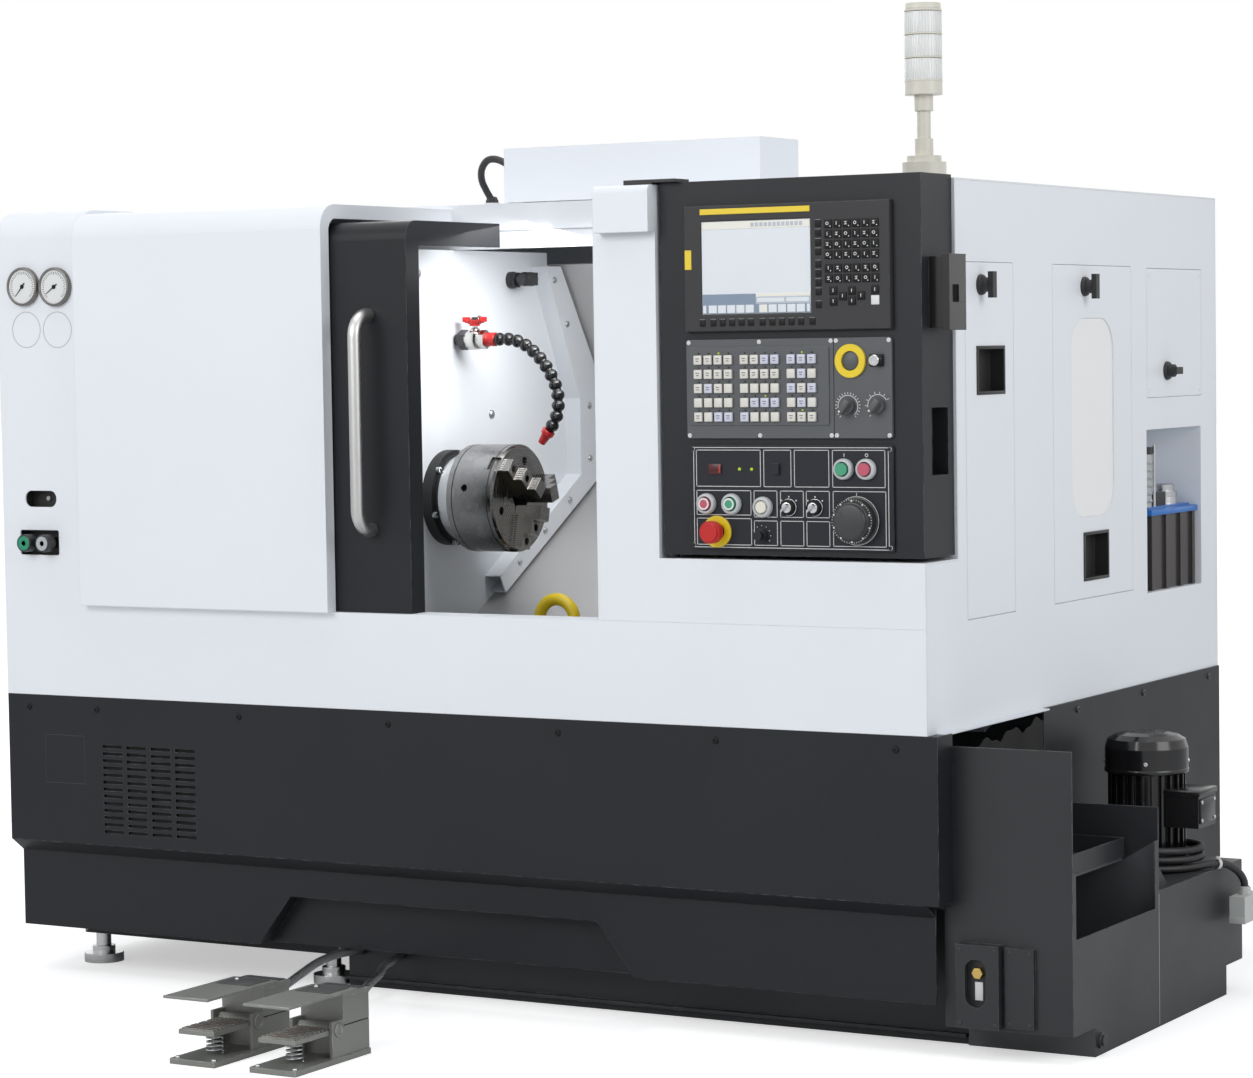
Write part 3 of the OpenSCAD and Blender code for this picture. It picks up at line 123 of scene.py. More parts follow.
floor_mesh = bpy.data.meshes.new("floor")
floor_mesh.from_pydata([(-40, -40, 0), (40, -40, 0), (40, 40, 0), (-40, 40, 0)], [],
                       [(0, 1, 2, 3)])
floor = bpy.data.objects.new("floor", floor_mesh)
bpy.context.scene.collection.objects.link(floor)
pale = bpy.data.materials.new("pale_floor")
pale.use_nodes = True
tree = pale.node_tree
base = tree.nodes["Principled BSDF"]
base.inputs["Base Color"].default_value = (0.86, 0.86, 0.86, 1)
base.inputs["Roughness"].default_value = 0.9
base.inputs["Specular IOR Level"].default_value = 0.1
base.inputs["Emission Color"].default_value = (1, 1, 1, 1)
ray = tree.nodes.new("ShaderNodeLightPath")
glow = tree.nodes.new("ShaderNodeMath")
glow.operation = "MULTIPLY"
where = tree.nodes.new("ShaderNodeTexCoord")
away = tree.nodes.new("ShaderNodeVectorMath")
away.operation = "LENGTH"
rise = tree.nodes.new("ShaderNodeMapRange")
for socket, value in (("From Min", 2.2), ("From Max", 5.0), ("To Min", 0.5), ("To Max", 0.72)):
    rise.inputs[socket].default_value = value
tree.links.new(where.outputs["Object"], away.inputs[0])
tree.links.new(away.outputs["Value"], rise.inputs["Value"])
tree.links.new(ray.outputs["Is Camera Ray"], glow.inputs[0])
tree.links.new(rise.outputs[0], glow.inputs[1])
tree.links.new(glow.outputs[0], base.inputs["Emission Strength"])
floor_mesh.materials.append(pale)

# Castings and drive: a grey painted slant bed on levelling feet, with headstock, cross
# slide, bright spindle and turret, folded steel covers that slide over the ways, and a
# yellow eye bolt for lifting.


def skin_group():
    """Shared effect: fine grain, soft tinted edges and slow patches of tone; the edge tint is
    wear, and on the charcoal paints also a painted highlight.
    """
    group = bpy.data.node_groups.new("surface_skin", "ShaderNodeTree")
    sockets = (("Grain Scale", 600.0), ("Grain Depth", 0.0002), ("Patch Scale", 3.0),
               ("Edge Radius", 0.0015))
    for label, value in sockets:
        s = group.interface.new_socket(label, in_out="INPUT", socket_type="NodeSocketFloat")
        s.default_value = value
    s = group.interface.new_socket("Stretch", in_out="INPUT", socket_type="NodeSocketVector")
    s.default_value = (1, 1, 1)
    for label, kind in (("Normal", "NodeSocketVector"), ("Edge", "NodeSocketFloat"),
                        ("Patch", "NodeSocketFloat"), ("Grain", "NodeSocketFloat")):
        group.interface.new_socket(label, in_out="OUTPUT", socket_type=kind)
    new, link = group.nodes.new, group.links.new
    get, put = new("NodeGroupInput"), new("NodeGroupOutput")
    place = new("ShaderNodeTexCoord")
    stretch = new("ShaderNodeVectorMath")
    stretch.operation = "MULTIPLY"
    link(place.outputs["Object"], stretch.inputs[0])
    link(get.outputs["Stretch"], stretch.inputs[1])
    grain = new("ShaderNodeTexNoise")
    grain.inputs["Detail"].default_value = 2.0
    link(stretch.outputs[0], grain.inputs["Vector"])
    link(get.outputs["Grain Scale"], grain.inputs["Scale"])
    patch = new("ShaderNodeTexNoise")
    patch.inputs["Detail"].default_value = 4.0
    link(place.outputs["Object"], patch.inputs["Vector"])
    link(get.outputs["Patch Scale"], patch.inputs["Scale"])
    rounded = new("ShaderNodeBevel")
    rounded.samples = 4
    link(get.outputs["Edge Radius"], rounded.inputs["Radius"])
    bump = new("ShaderNodeBump")
    bump.inputs["Strength"].default_value = 1.0
    link(get.outputs["Grain Depth"], bump.inputs["Distance"])
    link(grain.outputs["Fac"], bump.inputs["Height"])
    link(rounded.outputs["Normal"], bump.inputs["Normal"])
    face = new("ShaderNodeNewGeometry")
    dot = new("ShaderNodeVectorMath")
    dot.operation = "DOT_PRODUCT"
    link(rounded.outputs["Normal"], dot.inputs[0])
    link(face.outputs["Normal"], dot.inputs[1])
    edge_breakup = new("ShaderNodeTexNoise")
    edge_breakup.inputs["Scale"].default_value = 45.0
    edge_breakup.inputs["Detail"].default_value = 5.0
    link(place.outputs["Object"], edge_breakup.inputs["Vector"])
    turned = new("ShaderNodeMapRange")
    turned.inputs["From Min"].default_value = 0.985
    turned.inputs["From Max"].default_value = 0.85
    link(dot.outputs["Value"], turned.inputs["Value"])
    edge_breakup_range = new("ShaderNodeMapRange")
    edge_breakup_range.inputs["From Min"].default_value = 0.42
    edge_breakup_range.inputs["From Max"].default_value = 0.66
    link(edge_breakup.outputs["Fac"], edge_breakup_range.inputs["Value"])
    edge_tint = new("ShaderNodeMath")
    edge_tint.operation = "MULTIPLY"
    link(turned.outputs[0], edge_tint.inputs[0])
    link(edge_breakup_range.outputs[0], edge_tint.inputs[1])
    link(bump.outputs["Normal"], put.inputs["Normal"])
    link(edge_tint.outputs[0], put.inputs["Edge"])
    link(patch.outputs["Fac"], put.inputs["Patch"])
    link(grain.outputs["Fac"], put.inputs["Grain"])
    return group


SKIN = skin_group()


def finish(name, colour, rough, metal=0.0, grain=600.0, depth=0.0002, edge_tint=None, tone=0.06,
           stretch=(1, 1, 1), edge=0.0015, rough_swing=0.1, patch=3.0, shine=0.5):
    """A procedural material: toned colour, grain, edges tinted for wear (on the charcoal paints
    also a painted highlight) and uneven gloss.
    """
    made = bpy.data.materials.new(name)
    made.use_nodes = True
    new, link = made.node_tree.nodes.new, made.node_tree.links.new
    shader = made.node_tree.nodes["Principled BSDF"]
    skin = new("ShaderNodeGroup")
    skin.node_tree = SKIN
    for label, value in (("Grain Scale", grain), ("Grain Depth", depth), ("Patch Scale", patch),
                         ("Edge Radius", edge), ("Stretch", stretch)):
        skin.inputs[label].default_value = value
    shade = new("ShaderNodeMix")
    shade.data_type = "RGBA"
    shade.inputs["A"].default_value = (*[c * (1 - tone) for c in colour], 1)
    shade.inputs["B"].default_value = (*[min(1, c * (1 + tone)) for c in colour], 1)
    link(skin.outputs["Patch"], shade.inputs["Factor"])
    last = shade
    if edge_tint:
        edge_tinted = new("ShaderNodeMix")
        edge_tinted.data_type = "RGBA"
        edge_tinted.inputs["B"].default_value = (*edge_tint, 1)
        link(skin.outputs["Edge"], edge_tinted.inputs["Factor"])
        link(shade.outputs["Result"], edge_tinted.inputs["A"])
        last = edge_tinted
    link(last.outputs["Result"], shader.inputs["Base Color"])
    gloss = new("ShaderNodeMapRange")
    for label, value in (("From Min", 0.3), ("From Max", 0.7),
                         ("To Min", max(0.02, rough - rough_swing)),
                         ("To Max", min(1, rough + rough_swing))):
        gloss.inputs[label].default_value = value
    link(skin.outputs["Grain" if max(stretch) > 2 else "Patch"], gloss.inputs["Value"])
    link(gloss.outputs[0], shader.inputs["Roughness"])
    link(skin.outputs["Normal"], shader.inputs["Normal"])
    shader.inputs["Metallic"].default_value = metal
    shader.inputs["Specular IOR Level"].default_value = shine
    return made


def dress(name, main, *parts):
    """Materials on a CAD node: main, then others for the faces that a test picks."""
    data = node[name].data
    data.materials.clear()
    for one in (main, *[p[0] for p in parts]):
        data.materials.append(one)
    for face in data.polygons:
        face.material_index = 0
        at = face.center
        mm = ((at.x + MID_X) * 1000, (at.y + MID_Y) * 1000, at.z * 1000)
        for k, (_, picks) in enumerate(parts):
            if picks(*mm):
                face.material_index = k + 1


# The light edge tint of the charcoal paints is partly wear and partly a painted highlight along
# the sheet edges.
guard_dark = finish("guard_charcoal", (0.0125, 0.0134, 0.0165), 0.42, grain=700, depth=0.0002,
                    tone=0.10, edge_tint=(0.20, 0.205, 0.21), rough_swing=0.08, edge=0.0018, shine=0.28)
casting_grey = finish("casting_grey", (0.30, 0.33, 0.35), 0.55, grain=260, depth=0.0005, tone=0.1)
dress("slant_bed", casting_grey, (guard_dark, lambda x, y, z: z < 260))
for name in ("headstock", "cross_slide"):
    dress(name, casting_grey)
steel_bright = finish("steel_bright", (0.62, 0.63, 0.64), 0.26, metal=1.0, grain=300,
                      depth=0.00006, tone=0.08, rough_swing=0.08)
for name in ("levelling_feet", "spindle", "turret"):
    dress(name, steel_bright)
steel_sheet = finish("steel_sheet", (0.60, 0.595, 0.59), 0.48, metal=0.6, grain=120, depth=0.00005,
                     tone=0.1, stretch=(0.02, 1, 1), rough_swing=0.12, edge_tint=(0.7, 0.7, 0.7))
for name in ("way_cover", "saddle"):
    dress(name, steel_sheet)
ring_yellow = finish("ring_yellow", (0.84, 0.62, 0.02), 0.35, grain=200, depth=0.0001, tone=0.06,
                     edge_tint=(0.5, 0.4, 0.2))
dress("lifting_ring", ring_yellow)

# White guard: folded sheet steel with a light, slightly bluish powder coat, bolted to
# the casting. Its edges are bent, and dust dulls the coat unevenly.
BODY_W, SHEET = 2021, 3
AXIS_Y, AXIS_Z = 395, 940          # the spindle's middle line


def from_axis(y, z):
    """How far a place is from the spindle's middle line."""
    return math.hypot(y - AXIS_Y, z - AXIS_Z)


guard_white = finish("guard_white", (0.80, 0.83, 0.87), 0.42, grain=520, depth=0.00012, tone=0.012,
                     edge_tint=(0.70, 0.72, 0.74), rough_swing=0.06, edge=0.002)
matt_black = finish("matt_black", (0.017, 0.017, 0.018), 0.5, grain=900, depth=0.00015, tone=0.15,
                    edge_tint=(0.06, 0.06, 0.06))
# The walls of the sight slot and of the knob recess in the apron are painted black: painted shade
# in these recesses.
dress("front_apron", guard_white, (matt_black, lambda x, y, z: 3.2 < y < 33 and 40 < x < 141
                                   and (836 < z < 889 or 931 < z < 967)))
for name in ("pocket_cover", "roof_panel", "rear_guard", "right_side_panel"):
    dress(name, guard_white)
dress("top_cover", guard_white, (matt_black, lambda x, y, z: x < 829))
dress("right_front_panel", guard_white, (matt_black, lambda x, y, z: z > 1516.8 and x > 1440))
dress("spindle_wall", guard_white, (matt_black, lambda x, y, z: x > 798.2
                                    and from_axis(y, z) < 96))

# Base and door: charcoal powder-coated sheet steel. The base is screwed to the casting and
# has a step and a toe recess in front. The door slides and is bent over at its top.
for name in ("base_front_panel", "base_side_panel", "door_panel"):
    dress(name, guard_dark)

# Operator console: a charcoal sheet box on a pivot. The display unit, key panel and
# switch panel are moulded plates screwed to its front.
CON_X, CON_Z, CON_Y = 1507, 863, 7
DISPLAY_Y, KEYS_Y, FIELD_Y, SWITCH_Y = -5, 1, -1, 2


def add_box(bm, lo, hi, round_by=0.0, steps=2, index=0):
    """A box between two millimetre corners, with rounded edges."""
    made = bmesh.ops.create_cube(bm, size=1.0)["verts"]
    a, b = spot(*lo), spot(*hi)
    for v in made:
        v.co = Vector([a[i] + (v.co[i] + 0.5) * (b[i] - a[i]) for i in range(3)])
    faces = {f for v in made for f in v.link_faces}
    if round_by:
        edges = list(dict.fromkeys(e for v in made for e in v.link_edges))
        grown = bmesh.ops.bevel(bm, geom=edges, offset=round_by / 1000, segments=steps,
                                profile=0.5, affect="EDGES", clamp_overlap=True)
        faces = {f for v in grown["verts"] for f in v.link_faces}
    for f in faces:
        f.material_index = index


FRONT, BACK, RIGHT, LEFT, TOP = (0, -1, 0), (0, 1, 0), (1, 0, 0), (-1, 0, 0), (0, 0, 1)


def add_turned(bm, centre, axis, profile, sides=32, index=0):
    """A turned shape: profile is (radius, distance along axis) in millimetres from centre."""
    way = Vector(axis).normalized()
    across = way.cross(Vector((1, 0, 0)) if abs(way.z) > 0.9 else up).normalized()
    other = way.cross(across)
    c = spot(*centre)
    rings = []
    for r, d in profile:
        if r <= 0:
            rings.append([bm.verts.new(c + way * d / 1000)])
        else:
            rings.append([bm.verts.new(c + way * d / 1000
                                       + (cos(t) * across + sin(t) * other) * r / 1000)
                    for t in [2 * pi * k / sides for k in range(sides)]])
    for a, b in zip(rings, rings[1:]):
        for k in range(sides):
            n = (k + 1) % sides
            quad = [a[k % len(a)], a[n % len(a)], b[n % len(b)], b[k % len(b)]]
            quad = list(dict.fromkeys(quad))
            if len(quad) > 2:
                bm.faces.new(quad).material_index = index


def piece(name, mesh, body, finishes):
    """A finished mesh as an object at the origin that rides on a body."""
    thing = bpy.data.objects.new(name, mesh)
    bpy.context.scene.collection.objects.link(thing)
    for one in finishes if isinstance(finishes, (list, tuple)) else [finishes]:
        mesh.materials.append(one)
    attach(thing, body)
    return thing


def built(name, bm, body, finishes, smooth=None):
    """The collected shapes as one piece, with flat or smooth faces by angle."""
    bmesh.ops.recalc_face_normals(bm, faces=bm.faces[:])
    mesh = bpy.data.meshes.new(name)
    bm.to_mesh(mesh)
    bm.free()
    if smooth is not None:
        mesh.shade_smooth()
        mesh.set_sharp_from_angle(angle=radians(smooth))
    return piece(name, mesh, body, finishes)


def on_face(rx, rz, y):
    return (CON_X + rx, y, CON_Z + rz)


pump_gloss = finish("pump_gloss", (0.012, 0.012, 0.013), 0.18, grain=240, depth=0.0001, tone=0.2,
                    edge_tint=(0.08, 0.08, 0.08))
# Its light edge tint is partly wear and partly a painted highlight along the edges.
console_dark = finish("console_charcoal", (0.0165, 0.0175, 0.021), 0.42, grain=700, depth=0.0002,
                      tone=0.10, edge_tint=(0.20, 0.205, 0.21), rough_swing=0.08, edge=0.0018,
        shine=0.28)
dress("console_box", console_dark, (pump_gloss, lambda x, y, z: x > CON_X + 509.2),
      (matt_black, lambda x, y, z: x > CON_X + 440 and x < CON_X + 508.8 and 120 < y < 400))
screen_white = finish("screen_white", (0.76, 0.80, 0.84), 0.22, grain=40, depth=0.00001, tone=0.02)
screen_blue = finish("screen_blue", (0.24, 0.30, 0.40), 0.22, grain=40, depth=0.00001, tone=0.03)
screen_cream = finish("screen_cream", (0.84, 0.83, 0.76), 0.22, grain=40, depth=0.00001, tone=0.02)
screen_grey = finish("screen_grey", (0.50, 0.54, 0.60), 0.22, grain=40, depth=0.00001, tone=0.03)
strip_yellow = finish("strip_yellow", (0.82, 0.60, 0.03), 0.4, grain=300, depth=0.00003, tone=0.04)
key_cream = finish("key_cream", (0.70, 0.68, 0.63), 0.42, grain=500, depth=0.00006, tone=0.05)
key_lilac = finish("key_lilac", (0.60, 0.61, 0.72), 0.42, grain=500, depth=0.00006, tone=0.05)
mark_white = finish("mark_white", (0.75, 0.75, 0.74), 0.5, grain=500, depth=0.00002, tone=0.04)
mark_grey = finish("mark_grey", (0.20, 0.20, 0.21), 0.5, grain=500, depth=0.00002, tone=0.06)
mark_dark = finish("mark_dark", (0.009, 0.009, 0.010), 0.5, grain=500, depth=0.00002, tone=0.1,
                   shine=0.2)
panel_grey = finish("panel_grey", (0.085, 0.09, 0.097), 0.5, grain=800, depth=0.00012, tone=0.08,
                    edge_tint=(0.2, 0.2, 0.2))
panel_black = finish("panel_black", (0.034, 0.034, 0.036), 0.5, grain=800, depth=0.00012,
                     tone=0.08, edge_tint=(0.12, 0.12, 0.12), shine=0.3)

# The display: a moulded dark frame mitred round a sunk pale screen. The screen shows a
# title band, a grey block, an input line and two rows of boxes along its foot.
bm = bmesh.new()
rings = []
for x0, z0, x1, z1, y in ((55, 393, 455, 613, CON_Y), (55, 393, 455, 613, DISPLAY_Y + 1.5),
                          (56.5, 394.5, 453.5, 611.5, DISPLAY_Y), (88, 421, 306, 587, DISPLAY_Y),
        (90, 423, 304, 585, DISPLAY_Y + 0.8), (90, 423, 304, 585, DISPLAY_Y + 3.5)):
    rings.append([bm.verts.new(spot(*on_face(x, z, y)))
                  for x, z in ((x0, z0), (x1, z0), (x1, z1), (x0, z1))])
for a, b in zip(rings, rings[1:]):
    for k in range(4):
        bm.faces.new((a[k], a[(k + 1) % 4], b[(k + 1) % 4], b[k]))
bm.faces.new(rings[0])
bm.faces.new(rings[-1])
case = built("display_case", bm, "console", panel_black)
dress("display_unit", matt_black)
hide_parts("display_unit")
bm = bmesh.new()
for x0, z0, x1, z1, front, back, paint in (
        (90.2, 423.2, 303.8, 584.8, 1.4, 3.2, 0), (91, 571, 303, 584, 1.0, 1.5, 2),
        (91, 424, 303, 440, 1.0, 1.5, 1), (91, 440, 196, 458, 1.0, 1.5, 1),
        (197, 452.6, 303, 458, 1.0, 1.5, 2), (197, 440, 303, 452, 1.1, 1.5, 3)):
    add_box(bm, on_face(x0, z0, DISPLAY_Y + front), on_face(x1, z1, DISPLAY_Y + back), index=paint)
for x0, x1 in ((199, 252), (256, 300)):
    add_box(bm, on_face(x0, 443, DISPLAY_Y + 0.8), on_face(x1, 450, DISPLAY_Y + 1.2), 0, index=0)
boxes = [(111 + 18.3 * k, 8) for k in range(5)] + [(211 + 18.3 * k, 8) for k in range(5)]
for x, wide in [(95, 3)] + boxes + [(299, 3)]:
    add_box(bm, on_face(x - wide, 425, DISPLAY_Y + 0.7), on_face(x + wide, 438.6, DISPLAY_Y + 1.1),
            0, index=2 if wide > 4 and 205 < x < 215 else 0)
for k in range(12):
    add_box(bm, on_face(188 + 8.6 * k, 574, DISPLAY_Y + 0.8),
            on_face(194 + 8.6 * k, 581, DISPLAY_Y + 1.1), 0, index=3)
built("screen", bm, "console", [screen_white, screen_blue, screen_cream, screen_grey])
bm = bmesh.new()
add_box(bm, on_face(88, 597, DISPLAY_Y - 1), on_face(304, 607, DISPLAY_Y + 0.2), 0.6)
add_box(bm, on_face(56.8, 502, DISPLAY_Y - 0.5), on_face(70, 536, DISPLAY_Y + 0.1), 0.2)
built("display_trim", bm, "console", strip_yellow)

# Keys: small rounded caps set out in rows. The display's are gloss black with pale
# legends, and the machine keys are cream or lilac with a lamp dot above each.


def set_out_tree():
    """Geometry Nodes: one small shape set out on every point of a point mesh."""
    group = bpy.data.node_groups.new("set_out", "GeometryNodeTree")
    face = group.interface
    face.new_socket("Geometry", in_out="INPUT", socket_type="NodeSocketGeometry")
    face.new_socket("Shape", in_out="INPUT", socket_type="NodeSocketObject")
    face.new_socket("Size", in_out="INPUT", socket_type="NodeSocketFloat").default_value = 1.0
    face.new_socket("Finish", in_out="INPUT", socket_type="NodeSocketMaterial")
    face.new_socket("Geometry", in_out="OUTPUT", socket_type="NodeSocketGeometry")
    new, link = group.nodes.new, group.links.new
    get, put = new("NodeGroupInput"), new("NodeGroupOutput")
    shape, copies = new("GeometryNodeObjectInfo"), new("GeometryNodeInstanceOnPoints")
    solid, paint = new("GeometryNodeRealizeInstances"), new("GeometryNodeSetMaterial")
    turn = new("GeometryNodeInputNamedAttribute")
    turn.data_type = "FLOAT_VECTOR"
    turn.inputs["Name"].default_value = "turn"
    link(get.outputs["Geometry"], copies.inputs["Points"])
    link(get.outputs["Shape"], shape.inputs["Object"])
    link(shape.outputs["Geometry"], copies.inputs["Instance"])
    link(get.outputs["Size"], copies.inputs["Scale"])
    link(turn.outputs["Attribute"], copies.inputs["Rotation"])
    link(copies.outputs["Instances"], solid.inputs["Geometry"])
    link(solid.outputs["Geometry"], paint.inputs["Geometry"])
    link(get.outputs["Finish"], paint.inputs["Material"])
    link(paint.outputs["Geometry"], put.inputs["Geometry"])
    return group


SET_OUT = set_out_tree()


def set_out(name, places, shape, body, finish_used, turns=None, size=1.0, smooth=40):
    """Copies of a small bmesh shape at millimetre places, made by the set_out tree."""
    template_mesh = bpy.data.meshes.new(name + "_shape")
    bmesh.ops.recalc_face_normals(shape, faces=shape.faces[:])
    shape.to_mesh(template_mesh)
    shape.free()
    template = bpy.data.objects.new(name + "_shape", template_mesh)
    bpy.context.scene.collection.objects.link(template)
    points = bpy.data.meshes.new(name + "_points")
    points.from_pydata([spot(*p) for p in places], [], [])
    angles = points.attributes.new("turn", "FLOAT_VECTOR", "POINT")
    for k in range(len(places)):
        angles.data[k].vector = turns[k] if turns else (0, 0, 0)
    holder = bpy.data.objects.new(name, points)
    bpy.context.scene.collection.objects.link(holder)
    maker = holder.modifiers.new("set_out", "NODES")
    maker.node_group = SET_OUT
    keys = {i.name: i.identifier for i in SET_OUT.interface.items_tree if i.in_out == "INPUT"}
    maker[keys["Shape"]] = template
    maker[keys["Size"]] = size
    maker[keys["Finish"]] = finish_used
    bpy.context.view_layer.update()
    ready = holder.evaluated_get(bpy.context.evaluated_depsgraph_get())
    mesh = bpy.data.meshes.new_from_object(ready)
    bpy.data.objects.remove(holder)
    bpy.data.objects.remove(template)
    mesh.materials.clear()
    mesh.shade_smooth()
    mesh.set_sharp_from_angle(angle=radians(smooth))
    return piece(name, mesh, body, finish_used)


def shape_box(lo, hi, round_by):
    """A small rounded box about its own middle, for set_out."""
    bm = bmesh.new()
    at = (MID_X * 1000, MID_Y * 1000, 0)
    add_box(bm, [at[i] + lo[i] for i in range(3)], [at[i] + hi[i] for i in range(3)], round_by)
    return bm


def shape_turned(axis, profile, sides=16):
    bm = bmesh.new()
    add_turned(bm, (MID_X * 1000, MID_Y * 1000, 0), axis, profile, sides)
    return bm


KEY_PITCH = 17.7
KEY_ROWS = [574.4 - KEY_PITCH * r for r in range(4)] + [498.2 - KEY_PITCH * r for r in range(2)]
letter_keys = [on_face(339.5 + KEY_PITCH * c, z, DISPLAY_Y) for z in KEY_ROWS for c in range(6)]
letter_keys += [on_face(x, z, DISPLAY_Y) for x, z in ((348, 459.4), (348, 441), (366, 450),
        (383.5, 458.8), (383.5, 441.4), (401, 450.2), (427.5, 460))]
set_out("letter_keys", letter_keys, shape_box((-7.3, -1.9, -7.2), (7.3, 0.6, 7.2), 1.0), "console",
        mark_dark)
signs = {"ring": [], "bar": [], "cross": []}
for k, (x, y, z) in enumerate(letter_keys):
    kind = ("ring", "bar", "cross")[(k * 7 + k // 6) % 3 if k < 36 else 1]
    signs[kind].append((x - (1.6 if k < 24 else 0), y - 1.9, z + 0.8))
set_out("ring_signs", signs["ring"], shape_turned(FRONT,
        [(2.9, -0.1), (2.9, 0.2), (1.8, 0.2), (1.8, -0.1)], 20), "console", mark_white)
set_out("bar_signs", signs["bar"], shape_box((-0.7, -0.2, -2.9), (0.7, 0.1, 2.9), 0), "console",
        mark_white)
shape = shape_box((-2.5, -0.2, 1.4), (2.5, 0.1, 2.7), 0)
add_box(shape, (MID_X * 1000 - 2.5, MID_Y * 1000 - 0.2, -2.7),
        (MID_X * 1000 + 2.5, MID_Y * 1000 + 0.1, -1.4))
add_box(shape, (MID_X * 1000 - 0.7, MID_Y * 1000 - 0.2, -1.5),
        (MID_X * 1000 + 0.7, MID_Y * 1000 + 0.1, 1.5))
set_out("beam_signs", signs["cross"], shape, "console", mark_white)
set_out("small_signs", [(x + 4.4, y - 1.9, z - 4.2) for x, y, z in letter_keys[:36]],
        shape_box((-1.0, -0.2, -1.0), (1.0, 0.1, 1.0), 0), "console", mark_white)
soft_keys = [on_face(319.5, z, DISPLAY_Y) for z in (575.6, 559.4, 543.3, 527.1, 506.2, 490.3,
        474.4, 458.5, 436.4)]
soft_keys += [on_face(x, 408, DISPLAY_Y) for x in (91, 112.5, 131, 149.7, 168.3, 186.8, 210, 229,
        247.7, 266.3, 285, 307)]
set_out("soft_keys", soft_keys, shape_box((-5.6, -1.4, -6.0), (5.6, 0.6, 6.0), 0.8), "console",
        mark_dark)
# A grey strip along the top edge of each soft key: a painted highlight where light catches that
# edge.
set_out("soft_key_edges", [(x, y, z + 6.6) for x, y, z in soft_keys],
        shape_box((-5.8, -1.2, -0.7), (5.8, 0.4, 0.7), 0.3), "console", mark_grey)
bm = bmesh.new()
add_box(bm, on_face(420, 434.5, DISPLAY_Y - 2), on_face(435.5, 450.5, DISPLAY_Y + 0.6), 1.2)
built("page_key", bm, "console", mark_white, smooth=40)
field = [on_face(g + 20 * c + 7.5, 343.5 - 25 * r, FIELD_Y - 3) for r in range(5)
         for g, n in ((72, 4), (164, 4), (256, 3)) for c in range(n)]
lilac = {6, 7, 8, 9, 10, 20, 23, 30, 32, 38, 39, 40, 42, 46, 47, 48}
bare = {19, 21, 25, 26, 27, 28, 29, 33, 34, 35, 36, 37, 41, 43, 45, 49, 50, 51}
for name, cap, picked in (("cream_keys", key_cream, lambda k: k not in lilac),
                          ("lilac_keys", key_lilac, lambda k: k in lilac)):
    set_out(name, [q for k, q in enumerate(field) if picked(k)],
            shape_box((-7.9, -2.6, -8.1), (7.9, 2.6, 8.1), 1.3), "console", cap)
marked = [q for k, q in enumerate(field) if k not in bare]
for name, lift, half in (("key_marks_top", 2.2, 3.6), ("key_marks_low", -2.0, 2.6)):
    set_out(name, [(x, y - 2.6, z + lift) for x, y, z in marked],
            shape_box((-half, -0.15, -0.8), (half, 0.2, 0.8), 0), "console", mark_grey)
lamp_green = finish("lamp_green", (0.45, 0.70, 0.03), 0.3, grain=200, depth=0.00002, tone=0.1)
lit = {2, 9, 39, 53}
dot = [(0, 0.5), (1.3, 0.4), (1.6, -0.3)]
set_out("key_lamps_off", [(x, FIELD_Y - 0.1, z + 11.4) for k, (x, y, z) in enumerate(field)
                          if k not in lit], shape_turned(FRONT, dot, 10), "console", mark_dark)
set_out("key_lamps_lit", [(x, FIELD_Y - 0.1, z + 11.4) for k, (x, y, z) in enumerate(field)
                          if k in lit], shape_turned(FRONT, [(0, 0.9), (1.7, 0.6), (2.1, -0.3)],
        12), "console", lamp_green)

# Print on the switch panel: thin white frames, dots and signs, screen-printed on the dark
# moulded plate round its switches and buttons.


def frame_sides(x0, z0, x1, z1, wide):
    """The low and high corners of the four sides of a thin frame."""
    return (((x0, z0), (x1, z0 + wide)), ((x0, z1 - wide), (x1, z1)),
            ((x0, z0), (x0 + wide, z1)), ((x1 - wide, z0), (x1, z1)))


bm = bmesh.new()
for box in ((64.5, 14, 446, 190.5), (70, 121, 198.5, 186), (204, 121, 258.5, 186),
            (264, 121, 332, 186), (338, 121, 439.5, 186), (70, 71, 179, 115),
        (184, 68, 230.5, 115), (236, 68, 282, 115), (286.5, 68, 332.5, 115),
        (338.5, 19, 440.5, 115), (70, 18.5, 179.5, 66), (184, 18.5, 230.5, 62.5),
        (236, 18.5, 282, 62.5), (287, 18.5, 332.5, 62.5)):
    for lo, hi in frame_sides(*box, 1.3):
        add_box(bm, on_face(*lo, SWITCH_Y - 0.25), on_face(*hi, SWITCH_Y + 0.2))
add_box(bm, on_face(360.3, 174, SWITCH_Y - 0.25), on_face(361.7, 180, SWITCH_Y + 0.2))
add_turned(bm, on_face(404, 177, SWITCH_Y), FRONT, [(3.2, -0.2), (3.2, 0.25), (2.0, 0.25),
        (2.0, -0.2)], 20)
for x in (253, 304):
    for lean in (-50, 0, 50):
        t = radians(lean)
        add_turned(bm, on_face(x + 18.5 * sin(t), 86 + 18.5 * cos(t), SWITCH_Y), FRONT,
                   [(1.5, -0.2), (1.5, 0.25), (0, 0.25)], 12)
for k in range(7):
    t = radians(-60 + 30 * k)
    add_turned(bm, on_face(199 + 17.5 * sin(t), 36 + 17.5 * cos(t), SWITCH_Y), FRONT,
               [(0.9, -0.2), (0.9, 0.25), (0, 0.25)], 8)
built("switch_panel_print", bm, "console", mark_white)

